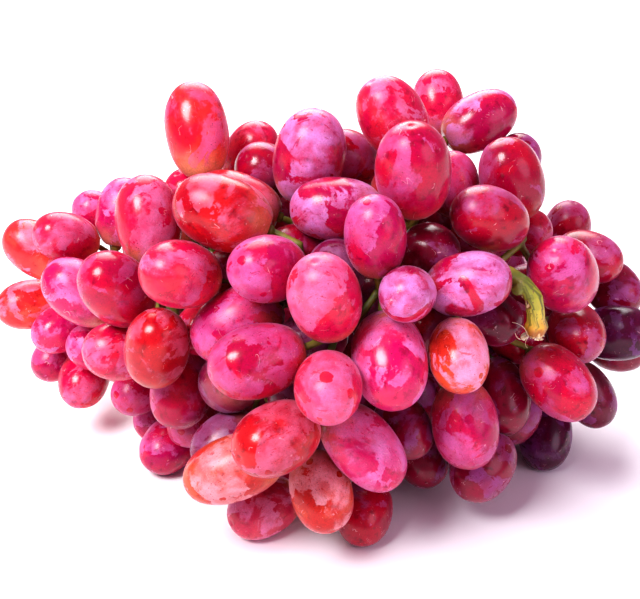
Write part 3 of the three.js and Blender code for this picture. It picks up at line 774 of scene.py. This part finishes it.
def mottle_group():
    """Slow cloudy change from one colour to another."""
    tree, start, end = shader_group(
        "Mottle",
        [("Place", "NodeSocketVector", None), ("Scale", "NodeSocketFloat", 1.0),
         ("From", "NodeSocketFloat", 0.4), ("To", "NodeSocketFloat", 0.6),
         ("First", "NodeSocketColor", None), ("Second", "NodeSocketColor", None)],
        [("Color", "NodeSocketColor"), ("Mask", "NodeSocketFloat")],
    )
    clouds = tree.noise(start.outputs["Place"], Scale=start.outputs["Scale"], Detail=3.0,
                        Roughness=0.55, Distortion=0.3)
    mask = tree.smooth(clouds.outputs[0], start.outputs["From"], start.outputs["To"], 0.0, 1.0)
    mixed = mix_colour(tree, mask, start.outputs["First"], start.outputs["Second"])
    tree.put(end.inputs["Color"], mixed)
    tree.put(end.inputs["Mask"], mask)
    return tree.tree


def mix_colour(tree, share, first, second, blend="MIX"):
    """A colour mix, as its output socket."""
    node = tree.add("ShaderNodeMix", data_type="RGBA", blend_type=blend, clamp_factor=True)
    tree.put(node.inputs["Factor"], share)
    tree.put(node.inputs[6], first)
    tree.put(node.inputs[7], second)
    return node.outputs[2]


def placed_group(tree, name, builder, **inputs):
    """A node that places a shader node group, built the first time it is wanted."""
    group = bpy.data.node_groups.get(name) or builder()
    return tree.named(tree.add("ShaderNodeGroup", node_tree=group), **inputs)


def new_material(name):
    """A material with a Principled shader and nothing else."""
    material = bpy.data.materials.new(name)
    material.use_nodes = True
    tree = Tree(material.node_tree)
    shader = material.node_tree.nodes["Principled BSDF"]
    return material, tree, shader


def attribute(tree, name):
    """A node that reads one of the piece's own attributes."""
    return tree.add("ShaderNodeAttribute", attribute_type="GEOMETRY", attribute_name=name)


def millimetres(tree):
    """The place on the object in millimetres."""
    place = tree.add("ShaderNodeTexCoord").outputs["Object"]
    scaled = tree.vector("MULTIPLY", place, (1 / MM,) * 3)
    return scaled.outputs[0]


def skin_material(name):
    """Grape skin: deep red where it is rubbed, lilac pink where the bloom is left; the tops carry
    more bloom, partly painted light.
    """
    material, tree, shader = new_material(name)
    own = attribute(tree, "skin_place").outputs["Vector"]
    seed = attribute(tree, "seed").outputs["Vector"]
    longer = tree.vector("MULTIPLY", own, (1.0, 1.0, 1.35))
    place = tree.vector("ADD", longer, seed).outputs[0]
    cover = tree.add("ShaderNodeSeparateXYZ", attribute(tree, "skin_cover").outputs["Vector"])
    skin = attribute(tree, "skin_colour").outputs["Color"]
    warm = attribute(tree, "warm_colour").outputs["Color"]
    bloom = attribute(tree, "bloom_colour").outputs["Color"]

    flesh = placed_group(tree, "Mottle", mottle_group, Place=place, Scale=0.75, From=0.42, To=0.60,
                         First=skin, Second=warm)
    deep = mix_colour(tree, 0.5, skin, (0.25, 0.0, 0.02, 1.0), "MULTIPLY")
    veined = placed_group(tree, "Mottle", mottle_group, Place=place, Scale=4.5, From=0.52, To=0.75,
                          First=flesh.outputs[0], Second=deep)
    height = tree.add("ShaderNodeSeparateXYZ", own).outputs[2]
    drift = tree.noise(place, Scale=1.4, Detail=2.0)
    height = tree.math("MULTIPLY_ADD", drift.outputs[0], 0.5, height)
    pale = tree.smooth(height, -0.75, -0.05, 1.0, 0.0)
    pale = tree.math("MULTIPLY", pale, cover.outputs[2])
    ripe = mix_colour(tree, pale, veined.outputs[0], (0.82, 0.44, 0.22, 1.0))

    # More bloom on upward faces, less underneath: partly the bloom's own lie, partly painted light
    # that pales the tops and reddens the undersides.
    top_bloom_and_light = tree.add("ShaderNodeSeparateXYZ", tree.add("ShaderNodeNewGeometry").outputs["Normal"])
    top_bloom_and_light = tree.ramp(top_bloom_and_light.outputs[2], -0.7, 0.6, -0.16, 0.05)
    left = tree.math("ADD", cover.outputs[0], top_bloom_and_light)
    rubbed = placed_group(tree, "Rubbed bloom", bloom_group, Place=place, Cover=left)
    thin = placed_group(tree, "Mottle", mottle_group, Place=place, Scale=2.3, From=0.3, To=0.7,
                        First=(0.30, 0.30, 0.30, 1.0), Second=(0.95, 0.95, 0.95, 1.0))
    wax = tree.math("MULTIPLY", rubbed.outputs["Mask"], thin.outputs[0])
    waxed = mix_colour(tree, wax, ripe, bloom)

    share = tree.math("MULTIPLY", cover.outputs[1], 0.9)
    swarm = tree.noise(place, Scale=1.7, Detail=1.0)
    swarm = tree.ramp(swarm.outputs[0], 0.40, 0.62, 0.25, 1.0)
    share = tree.math("MULTIPLY", share, swarm)
    dark_specks = placed_group(tree, "Specks", speck_group, Place=place, Scale=15.0, Size=0.38,
                               Share=share)
    dark_specks = tree.math("MULTIPLY", dark_specks, 0.8)
    dotted = mix_colour(tree, dark_specks, waxed, (0.20, 0.004, 0.02, 1.0))
    pale_specks = placed_group(tree, "Specks", speck_group, Place=place, Scale=11.0, Size=0.18,
                               Share=share)
    pale_specks = tree.math("MULTIPLY", pale_specks, 0.7)
    dotted = mix_colour(tree, pale_specks, dotted, (0.92, 0.45, 0.50, 1.0))
    scratches = placed_group(tree, "Scratches", scratch_group, Place=place, Scale=1.5, Width=0.007)
    scratches = tree.math("MULTIPLY", scratches, 0.65)
    dotted = mix_colour(tree, scratches, dotted, (0.92, 0.52, 0.58, 1.0))
    powder = tree.noise(place, Scale=22.0, Detail=3.0, Roughness=0.7)
    powder = tree.ramp(powder.outputs[0], 0.3, 0.7, 0.78, 1.12)
    dotted = mix_colour(tree, 1.0, dotted, powder, "MULTIPLY")
    tree.put(shader.inputs["Base Color"], dotted)

    dull = tree.ramp(wax, 0.0, 1.0, 0.20, 0.46)
    tree.put(shader.inputs["Roughness"], dull)
    grain = tree.noise(place, Scale=26.0, Detail=2.0)
    relief = tree.math("MULTIPLY_ADD", wax, 0.6, grain.outputs[0])
    bump = tree.named(tree.add("ShaderNodeBump"), Strength=0.12, Distance=0.0002, Height=relief)
    tree.put(shader.inputs["Normal"], bump)
    shader.inputs["Subsurface Weight"].default_value = 0.20
    shader.inputs["Subsurface Radius"].default_value = (1.0, 0.30, 0.22)
    shader.inputs["Subsurface Scale"].default_value = 0.003
    shader.inputs["Sheen Weight"].default_value = 0.20
    shader.inputs["Sheen Roughness"].default_value = 0.30
    shader.inputs["Sheen Tint"].default_value = (1.0, 0.62, 0.85, 1.0)
    shader.inputs["IOR"].default_value = 1.42
    return material


# Colours of the main stalk by the distance from its cut end in millimetres.
CUT_COLOURS = (
    (0.0, (0.80, 0.66, 0.40)),
    (0.9, (0.74, 0.52, 0.24)),
    (1.5, (0.36, 0.12, 0.02)),
    (2.6, (0.44, 0.17, 0.02)),
    (4.0, (0.62, 0.34, 0.04)),
    (8.0, (0.58, 0.46, 0.05)),
    (12.0, (0.34, 0.33, 0.03)),
    (18.0, (0.12, 0.15, 0.015)),
)
CUT_LENGTH = 20.0
FAR_ALONG = 99.0  # stands for everything that isn't the cut main stalk


def stalk_material(name, cut):
    """Green stalk: cloudy olive, and on the main stalk streaks, a weathered cut end and a peeled
    scar with painted shade in its pit.
    """
    material, tree, shader = new_material(name)
    place = millimetres(tree)
    clouds = placed_group(tree, "Mottle", mottle_group, Place=place, Scale=0.16, From=0.35, To=0.65,
                          First=(0.10, 0.13, 0.015, 1.0), Second=(0.26, 0.20, 0.03, 1.0))
    colour = clouds.outputs[0]
    if cut:
        streak_place = attribute(tree, "streak_place").outputs["Vector"]
        streaks = tree.noise(streak_place, Scale=0.9, Detail=2.5, Roughness=0.6)
        along = attribute(tree, "along").outputs["Fac"]
        uneven = tree.math("SUBTRACT", streaks.outputs[0], 0.5)
        uneven = tree.math("MULTIPLY_ADD", uneven, 6.0, along)
        share = tree.math("DIVIDE", uneven, CUT_LENGTH)
        ramp = tree.add("ShaderNodeValToRGB", share)
        stops = ramp.color_ramp.elements
        for at, _ in CUT_COLOURS[1:-1]:
            stops.new(at / CUT_LENGTH)
        for stop, (at, shade) in zip(stops, CUT_COLOURS):
            stop.position = at / CUT_LENGTH
            stop.color = (*shade, 1.0)
        nearby = tree.ramp(along, 0.8 * CUT_LENGTH, CUT_LENGTH, 1.0, 0.0)
        colour = mix_colour(tree, nearby, colour, ramp.outputs[0])
        dark = tree.smooth(streaks.outputs[0], 0.50, 0.62, 0.0, 0.85)
        dark = tree.math("MULTIPLY", dark, nearby)
        beyond = tree.ramp(along, 1.5, 5.0, 0.15, 1.0)
        dark = tree.math("MULTIPLY", dark, beyond)
        colour = mix_colour(tree, dark, colour, (0.09, 0.10, 0.012, 1.0))
        scar = attribute(tree, "scar").outputs["Fac"]
        lip = tree.ramp(scar, 0.10, 0.35, 0.0, 1.0)
        colour = mix_colour(tree, lip, colour, (0.16, 0.055, 0.012, 1.0))
        peeled = tree.ramp(scar, 0.38, 0.52, 0.0, 1.0)
        colour = mix_colour(tree, peeled, colour, (0.66, 0.50, 0.28, 1.0))
        # Painted shade: the middle of the scar's sunk pit is painted near black, as the shade
        # inside a hole.
        hole_shade = tree.ramp(scar, 0.74, 0.84, 0.0, 1.0)
        colour = mix_colour(tree, hole_shade, colour, (0.03, 0.012, 0.006, 1.0))
    specks = placed_group(tree, "Specks", speck_group, Place=place, Scale=1.3, Size=0.5, Share=0.3)
    colour = mix_colour(tree, specks, colour, (0.16, 0.09, 0.03, 1.0))
    tree.put(shader.inputs["Base Color"], colour)
    shader.inputs["Roughness"].default_value = 0.5
    grain = tree.noise(place, Scale=2.2, Detail=4.0)
    bump = tree.named(tree.add("ShaderNodeBump"), Strength=0.3, Distance=0.0002,
                      Height=grain.outputs[0])
    tree.put(shader.inputs["Normal"], bump)
    return material


# ------------------------------------------------------------------ stalks
def resurfaced(obj, grain, plump):
    """A closed faceted mesh made smooth: small cells, smoothing and a little swelling."""
    cells = obj.modifiers.new("cells", "REMESH")
    cells.mode = "VOXEL"
    cells.voxel_size = grain
    smooth = obj.modifiers.new("smooth", "SMOOTH")
    smooth.factor = 0.5
    smooth.iterations = 6
    settled(obj)
    places = coordinates(obj.data)
    normals = np.empty(len(places) * 3)
    obj.data.vertices.foreach_get("normal", normals)
    obj.data.vertices.foreach_set("co", (places + normals.reshape(-1, 3) * plump).ravel())
    obj.data.shade_smooth()
    obj.data.update()
    return obj


# The cut main stalk. Lengths without a unit are in millimetres.
FAN_FACES = 5  # a cut end is closed by at least this many faces round one corner
FAN_EVENNESS = 1.12  # longest over shortest edge of that fan
FAN_FLATNESS = 0.8
STEP = 1.2 * MM  # of the walk along its middle
STEPS = 17
REACH = 3.9 * MM  # further from the middle than this is another stalk
SIDE_STEP = 5  # the step whose direction stands for the whole stalk
GIRTH = 2.5  # its radius
STREAK = 0.07  # the pattern of its streaks is shortened to this along it
FADE = 5.0  # its ridges fade out over this at CUT_LENGTH
LIP = 1.6  # its cut end flares and is torn over this
LIP_OUT = 0.22 * MM
TORN = 0.45 * MM
SCAR_TURN = -0.45  # the peeled scar: from the left side towards the front
SCAR_ALONG = 13.0  # from the cut end
SCAR_LONG = 2.4
SCAR_WIDE = 1.15
SCAR_LIP = 0.45  # within this height of the scar's bell it sinks, outside it rises
SCAR_EDGE = 0.08
SCAR_SINK = 1.3
SCAR_RISE = 0.5
# Waves round it: share, how many go round, where they start and how much they wind along it.
RIDGE_WAVES = ((0.6, 6, 0.0, 0.25), (0.4, 11, 1.7, 0.4))
TEAR_WAVES = ((1.0, 9, 0.0, 0.0), (0.6, 17, 1.0, 0.0))
FIBRE_OUT = (1.5, 1.2)  # fibres stand from the first of these from its middle, over the second
FIBRE_LEAN = (0.2, 1.1)
FIBRE_LONG = (0.6, 1.1)
FIBRE_DEEP = 0.5 * MM
HAIR_OUT = 2.4 * MM
HAIR_DEEP = 0.4 * MM
COLLAR_DEEP = 0.3 * MM  # the swollen end of a pedicel reaches this far into its grape
COLLAR_LONG = 1.15 * MM
HAIRS = (  # the long hairs: how far each leans out and back, its length and its turn
    (1.0, -0.2, 4.6, 0.5),
    (0.35, 1.0, 5.5, 2.6),
    (0.9, -0.9, 2.8, 4.0),
)


def cut_end(mesh):
    """The middle of the largest even, nearly flat fan of faces and the way it looks."""
    best = (0, None, None)
    for corner in mesh.verts:
        fan = corner.link_faces
        if len(fan) < FAN_FACES:
            continue
        look = sum((face.normal * face.calc_area() for face in fan), Vector()).normalized()
        spokes = [edge.calc_length() for edge in corner.link_edges]
        even = max(spokes) < FAN_EVENNESS * min(spokes)
        flat = min(face.normal.dot(look) for face in fan) > FAN_FLATNESS
        area = sum(face.calc_area() for face in fan)
        if even and flat and area > best[0]:
            best = (area, np.array(corner.co), np.array(look))
    return best[1], best[2]


def middle_line(places, start, look):
    """Points along the middle of a stalk, one step apart, from its cut end inwards."""
    line = [start]
    onward = -look
    for _ in range(STEPS):
        ahead = places - (line[-1] + onward * STEP)
        near = (np.abs(ahead @ onward) < 0.5 * STEP) & (np.linalg.norm(ahead, axis=1) < REACH)
        onward = unit(places[near].mean(axis=0) - line[-1])
        line.append(line[-1] + onward * STEP)
    return np.array(line)


def waves_round(waves, angle, along):
    """The height of a sum of waves round the stalk."""
    return sum(
        share * np.sin(count * angle + turn + wind * along) for share, count, turn, wind in waves
    )


def weathered(obj, start, look, ridges):
    """Ridges, a frayed lip and a peeled scar on the cut main stalk, with what colours them."""
    places = coordinates(obj.data)
    line = middle_line(places, start, look)
    towards = line[1:] - line[:-1]
    away = places[:, None, :] - line[None, :-1, :]
    share = np.clip((away * towards).sum(axis=2) / STEP**2, -0.6, 1)
    away = away - share[:, :, None] * towards
    nearest = np.linalg.norm(away, axis=2).argmin(axis=1)
    rows = np.arange(len(places))
    away = away[rows, nearest]
    distance = np.linalg.norm(away, axis=1)
    along = (nearest + share[rows, nearest]) * STEP / MM
    far = distance > REACH
    along[far] = FAR_ALONG
    inwards = unit(line[SIDE_STEP + 1] - line[SIDE_STEP])
    side = unit(np.array((-1.0, 0.0, 0.0)) + inwards * inwards[0])
    front = unit(np.cross(side, inwards))
    angle = np.arctan2(away @ front, away @ side)
    turned = [GIRTH * np.cos(angle), GIRTH * np.sin(angle), STREAK * along]
    turned = np.stack(turned, axis=1)
    turned[far] = places[far] / MM
    fade = np.clip((CUT_LENGTH - along) / FADE, 0, 1)
    from_scar = ((along - SCAR_ALONG) / SCAR_LONG) ** 2
    from_scar += (GIRTH * (angle - SCAR_TURN) / SCAR_WIDE) ** 2
    scar = np.exp(-from_scar)
    scar[far] = 0
    lip = np.clip(LIP - along, 0, LIP) / LIP * np.clip(distance / (1.5 * MM), 0, 1)
    out = away / np.maximum(distance, 1e-9)[:, None]
    growth = ridges * waves_round(RIDGE_WAVES, angle, along) * fade + LIP_OUT * lip
    slope = np.where(scar > SCAR_LIP, -SCAR_SINK, SCAR_RISE) * (scar > SCAR_EDGE)
    growth += slope * np.abs(scar - SCAR_LIP) * MM
    torn = TORN * lip * waves_round(TEAR_WAVES, angle, along)
    places = places + out * growth[:, None] + np.outer(torn, look)
    obj.data.vertices.foreach_set("co", places.ravel())
    put_attribute(obj.data, "streak_place", "FLOAT_VECTOR", "vector", turned)
    put_attribute(obj.data, "along", "FLOAT", "value", along)
    put_attribute(obj.data, "scar", "FLOAT", "value", scar)
    obj.data.update()


# ------------------------------------------------------------------ fibres and collars
def fibre_tree():
    """Points with a turn and a size become thin bent fibres, as one mesh."""
    tree, start, end = group_tree(
        "GeometryNodeTree", "Fibres",
        [("Geometry", "NodeSocketGeometry", None), ("Thickness", "NodeSocketFloat", 0.05),
         ("Bend", "NodeSocketFloat", 0.4), ("Material", "NodeSocketMaterial", None)],
        [("Geometry", "NodeSocketGeometry")],
    )
    tip = tree.add("ShaderNodeCombineXYZ", start.outputs["Bend"], 0.0, 0.92)
    path = tree.named(tree.add("GeometryNodeCurvePrimitiveBezierSegment"), Resolution=7,
                      Start=(0, 0, 0), Start_Handle=(0, 0, 0.4), End_Handle=(0.05, 0, 0.85),
                      End=tip)
    ring = tree.named(tree.add("GeometryNodeCurvePrimitiveCircle"), Resolution=4,
                      Radius=start.outputs["Thickness"])
    fibre = tree.named(tree.add("GeometryNodeCurveToMesh"), Curve=path, Profile_Curve=ring,
                       Fill_Caps=True)
    finish_instances(tree, start, end, fibre)
    return tree.tree


def collar_tree():
    """Points with a turn and a size become the swollen ends of pedicels, as one mesh."""
    tree, start, end = group_tree(
        "GeometryNodeTree", "Collars",
        [("Geometry", "NodeSocketGeometry", None), ("Material", "NodeSocketMaterial", None)],
        [("Geometry", "NodeSocketGeometry")],
    )
    ball = tree.add("GeometryNodeMeshUVSphere", 12, 6, 1.0)
    finish_instances(tree, start, end, ball)
    return tree.tree


def finish_instances(tree, start, end, shape):
    """Puts a shape on every point, then makes it real, smooth and painted."""
    turn = tree.stored("turn", "QUATERNION")
    size = tree.stored("size", "FLOAT_VECTOR")
    placed = tree.named(tree.add("GeometryNodeInstanceOnPoints"), Points=start.outputs["Geometry"],
                        Instance=shape, Rotation=turn, Scale=size)
    solid = tree.add("GeometryNodeRealizeInstances", placed)
    smooth = tree.add("GeometryNodeSetShadeSmooth", solid)
    painted = tree.named(tree.add("GeometryNodeSetMaterial"), Geometry=smooth,
                         Material=start.outputs["Material"])
    tree.put(end.inputs[0], painted)


def build_collars(name, grapes, radius, material):
    """The swollen end of every grape's pedicel, set into the hollow of its stem end."""
    group = bpy.data.node_groups.get("Collars") or collar_tree()
    places = [grape.base + grape.axis * COLLAR_DEEP for grape in grapes]
    turns = [grape.turn() for grape in grapes]
    obj = turned_points(name, places, turns, [(radius, radius, COLLAR_LONG)] * len(grapes))
    run_geometry(obj, group, Material=material)
    corners = coordinates(obj.data)
    corners[:, 2] = np.maximum(corners[:, 2], LOWEST)
    obj.data.vertices.foreach_set("co", corners.ravel())
    return obj


def build_fibres(name, start, look, count, material):
    """Frayed fibres round the cut end."""
    group = bpy.data.node_groups.get("Fibres") or fibre_tree()
    side = unit(np.cross(look, (0, 0, 1)))
    front = unit(np.cross(side, look))
    rows = []
    for number in range(count):
        luck = [stable_number(f"fibre {number} {axis}") for axis in "abcde"]
        angle = 2 * math.pi * luck[0]
        out = math.cos(angle) * side + math.sin(angle) * front
        place = start + out * (FIBRE_OUT[0] + FIBRE_OUT[1] * luck[1]) * MM - look * FIBRE_DEEP
        lean = unit(look + out * (FIBRE_LEAN[0] + FIBRE_LEAN[1] * luck[2]))
        turn = Vector((0, 0, 1)).rotation_difference(Vector(lean))
        long = (FIBRE_LONG[0] + FIBRE_LONG[1] * luck[3]) * MM
        rows.append((place, turn @ Quaternion((0, 0, 1), 6 * luck[4]), (long, long, long)))
    short = turned_points(name, *zip(*rows))
    run_geometry(short, group, Thickness=0.07, Bend=0.4, Material=material)
    return short


def build_hairs(name, start, look, material):
    """The long loose hairs of the cut end."""
    group = bpy.data.node_groups.get("Fibres") or fibre_tree()
    side = unit(np.cross(look, (0, 0, 1)))
    side = side if side[0] < 0 else -side
    back = -look
    rows = []
    for out, onward, long, spin in HAIRS:
        place = start + side * HAIR_OUT - look * HAIR_DEEP
        lean = unit(side * out + back * onward)
        turn = Vector((0, 0, 1)).rotation_difference(Vector(lean))
        rows.append((place, turn @ Quaternion((0, 0, 1), spin), (long * MM,) * 3))
    hairs = turned_points(name, *zip(*rows))
    run_geometry(hairs, group, Thickness=0.02, Bend=0.7, Material=material)
    return hairs


def fibre_material(name):
    """Dry fibres: cream with straw and grey streaks."""
    material, tree, shader = new_material(name)
    place = millimetres(tree)
    clouds = placed_group(tree, "Mottle", mottle_group, Place=place, Scale=1.4, From=0.35, To=0.65,
                          First=(0.86, 0.80, 0.66, 1.0), Second=(0.62, 0.44, 0.20, 1.0))
    tree.put(shader.inputs["Base Color"], clouds)
    shader.inputs["Roughness"].default_value = 0.7
    return material


def stalk_patches(node):
    """The stalks of a sprig as one closed mesh, reaching a little into its grapes."""
    mesh = welded(node)
    doomed = [face for patch in patches_of(mesh) if fatness(patch) > FAT for face in patch]
    bmesh.ops.delete(mesh, geom=doomed, context="FACES")
    rims = [edge for edge in mesh.edges if len(edge.link_faces) == 1]
    grown = bmesh.ops.extrude_edge_only(mesh, edges=rims)["geom"]
    centres = np.array([grape.centre for grape in BUNCH[node]])
    for item in grown:
        if isinstance(item, bmesh.types.BMVert):
            place = np.array(item.co)
            nearest = centres[np.linalg.norm(centres - place, axis=1).argmin()]
            item.co = Vector(place + (nearest - place) * 0.3)
    rims = [edge for edge in mesh.edges if len(edge.link_faces) == 1]
    bmesh.ops.holes_fill(mesh, edges=rims, sides=0)
    bmesh.ops.recalc_face_normals(mesh, faces=mesh.faces)
    plain = bpy.data.meshes.new(node + "_stalks")
    mesh.to_mesh(plain)
    mesh.free()
    return plain


def finish_piece(obj, nodes):
    """Hands a finished piece to the frame."""
    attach(obj, "root")
    if nodes:
        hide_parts(*nodes)


# ------------------------------------------------------------------ operators
class GRAPES_OT_single_grapes(bpy.types.Operator):
    """Make the single grapes of one region of the shown side"""

    bl_idname = "grapes.single_grapes"
    bl_label = "Single grapes"
    region: bpy.props.StringProperty(name="Region", description="Region to make", default="mid")

    def execute(self, context):
        shape = context.scene.grape_shape
        material = skin_material(f"{self.region}_skin")
        for node, grapes in BUNCH.items():
            if node.startswith(self.region + "_grape_"):
                name = node.replace("_grape_", "_berry_")
                obj = build_grapes(name, grapes, shape.segments, material)
                finish_piece(obj, [node])
        return {"FINISHED"}


class GRAPES_OT_sprigs(bpy.types.Operator):
    """Make the sprigs: the grapes of the far side and the gaps, with their stalks"""

    bl_idname = "grapes.sprigs"
    bl_label = "Sprigs"

    def execute(self, context):
        shape = context.scene.grape_shape
        stalk = context.scene.grape_stalks
        material = skin_material("sprig_skin")
        green = stalk_material("sprig_green", False)
        for node, grapes in BUNCH.items():
            if node.startswith(SPRIG_PREFIX):
                obj = build_grapes(node + "_berries", grapes, shape.tucked_segments, material)
                finish_piece(obj, [node])
                stalks = new_object(node + "_stalks", stalk_patches(node))
                resurfaced(stalks, stalk.grain, stalk.plumpness)
                stalks.data.materials.append(green)
                finish_piece(stalks, [])
        return {"FINISHED"}


class GRAPES_OT_stem(bpy.types.Operator):
    """Make the main stalk with its branches and pedicels"""

    bl_idname = "grapes.stem"
    bl_label = "Stem"

    def execute(self, context):
        stalk = context.scene.grape_stalks
        source = welded(STEM_NODE)
        start, look = cut_end(source)
        mesh = bpy.data.meshes.new("main_stalk")
        source.to_mesh(mesh)
        source.free()
        obj = new_object("main_stalk", mesh)
        resurfaced(obj, stalk.grain, stalk.plumpness)
        weathered(obj, start, look, stalk.ridges)
        obj.data.materials.append(stalk_material("main_green", True))
        finish_piece(obj, [STEM_NODE])
        straw = fibre_material("dry_fibre")
        finish_piece(build_fibres("cut_fibres", start, look, stalk.fibres, straw), [])
        finish_piece(build_hairs("cut_hairs", start, look, straw), [])
        green = stalk_material("collar_green", False)
        grapes = [grape for group in BUNCH.values() for grape in group]
        collars = build_collars("pedicel_ends", grapes, stalk.collar, green)
        finish_piece(collars, [])
        return {"FINISHED"}


def area_light(name, place, target, size, power, colour):
    """A large soft light that looks at a point."""
    light = bpy.data.lights.new(name, "AREA")
    light.shape = "DISK"
    light.size = size
    light.energy = power
    light.color = colour
    obj = new_object(name, light)
    obj.location = place
    obj.rotation_euler = (target - place).to_track_quat("-Z", "Y").to_euler()
    return obj


class GRAPES_OT_stage(bpy.types.Operator):
    """Make the table, the lights and the camera"""

    bl_idname = "grapes.stage"
    bl_label = "Stage"

    def execute(self, context):
        look = context.scene.grape_stage
        low, high = CAD_BOX
        middle = (low + high) / 2
        bpy.ops.mesh.primitive_plane_add(size=8, location=(middle.x, middle.y, 0))
        table = context.object
        table.name = "table"
        material, tree, shader = new_material("table")
        shader.inputs["Base Color"].default_value = (*look.table_colour, 1)
        shader.inputs["Roughness"].default_value = 0.6
        far = tree.add("ShaderNodeTexCoord").outputs["Object"]
        far = tree.vector("LENGTH", far).outputs["Value"]
        glow = tree.smooth(far, 0.45, 1.1, 0.0, 1.0)
        glow = mix_colour(tree, glow, (0.0, 0.0, 0.0, 1.0), (1.0, 1.0, 1.0, 1.0))
        tree.put(shader.inputs["Emission Color"], glow)
        shader.inputs["Emission Strength"].default_value = 0.7
        table.data.materials.append(material)

        world = bpy.data.worlds.new("white room")
        world.use_nodes = True
        room = Tree(world.node_tree)
        seen = room.add("ShaderNodeLightPath").outputs["Is Camera Ray"]
        tint = mix_colour(room, seen, (1.0, 0.70, 0.95, 1.0), (1.0, 1.0, 1.0, 1.0))
        glow = room.ramp(seen, 0.0, 1.0, look.air, 1.0)
        room.named(world.node_tree.nodes["Background"], Color=tint, Strength=glow)
        context.scene.world = world

        aim = Vector((middle.x, middle.y, 0.45 * high.z))
        area_light("key", aim + Vector((-0.45, -0.45, 0.75)), aim, 0.42, look.key_power,
                   (0.96, 0.96, 1.0))
        area_light("fill", aim + Vector((0.6, -0.5, 0.35)), aim, 0.6, look.fill_power,
                   (1.0, 0.76, 0.98))
        area_light("far", aim + Vector((0, 2.0, 1.3)), aim + Vector((0, 1.5, 0)), 2.0,
                   look.key_power * 2.5, (1.0, 1.0, 1.0))
        area_light("back", aim + Vector((-0.1, 0.6, 0.6)), aim, 0.8, look.key_power * 0.5,
                   (1.0, 1.0, 1.0))

        target = Vector((middle.x, middle.y + 0.05 * (high.y - low.y), 0.456 * high.z))
        back = Vector((0, -math.cos(look.elevation), math.sin(look.elevation)))
        camera = bpy.data.cameras.new("camera")
        camera.lens = look.lens
        camera.sensor_width = 36.0
        camera.clip_start = 0.01
        camera.clip_end = 20
        holder = new_object("camera", camera)
        holder.location = target + back * look.distance
        holder.rotation_euler = (-back).to_track_quat("-Z", "Y").to_euler()
        context.scene.camera = holder
        context.scene.view_settings.view_transform = "Standard"
        context.scene.view_settings.look = "Medium High Contrast"
        return {"FINISHED"}


class GRAPES_PT_panel(bpy.types.Panel):
    """The bunch's operators and settings"""

    bl_label = "Bunch of grapes"
    bl_idname = "GRAPES_PT_panel"
    bl_space_type = "VIEW_3D"
    bl_region_type = "UI"
    bl_category = "Grapes"

    def draw(self, context):
        layout = self.layout
        for region in REGIONS:
            button = layout.operator("grapes.single_grapes", text=f"Single grapes: {region}")
            button.region = region
        for name in ("grapes.sprigs", "grapes.stem", "grapes.stage"):
            layout.operator(name)
        for settings in ("grape_shape", "grape_stalks", "grape_stage"):
            group = getattr(context.scene, settings)
            for title in group.bl_rna.properties.keys():
                if title not in ("rna_type", "name"):
                    layout.prop(group, title)


CLASSES = (
    GrapeShape,
    StalkShape,
    StageLook,
    GRAPES_OT_single_grapes,
    GRAPES_OT_sprigs,
    GRAPES_OT_stem,
    GRAPES_OT_stage,
    GRAPES_PT_panel,
)


def register():
    """Registers the classes and the scene's settings."""
    for item in CLASSES:
        bpy.utils.register_class(item)
    bpy.types.Scene.grape_shape = bpy.props.PointerProperty(type=GrapeShape)
    bpy.types.Scene.grape_stalks = bpy.props.PointerProperty(type=StalkShape)
    bpy.types.Scene.grape_stage = bpy.props.PointerProperty(type=StageLook)


def unregister():
    """Takes the settings and the classes away again."""
    del bpy.types.Scene.grape_stage
    del bpy.types.Scene.grape_stalks
    del bpy.types.Scene.grape_shape
    for item in reversed(CLASSES):
        bpy.utils.unregister_class(item)


def main():
    """Makes the whole bunch."""
    register()
    for region in REGIONS:
        bpy.ops.grapes.single_grapes(region=region)
    bpy.ops.grapes.sprigs()
    bpy.ops.grapes.stem()
    bpy.ops.grapes.stage()


if __name__ == "__main__":
    main()
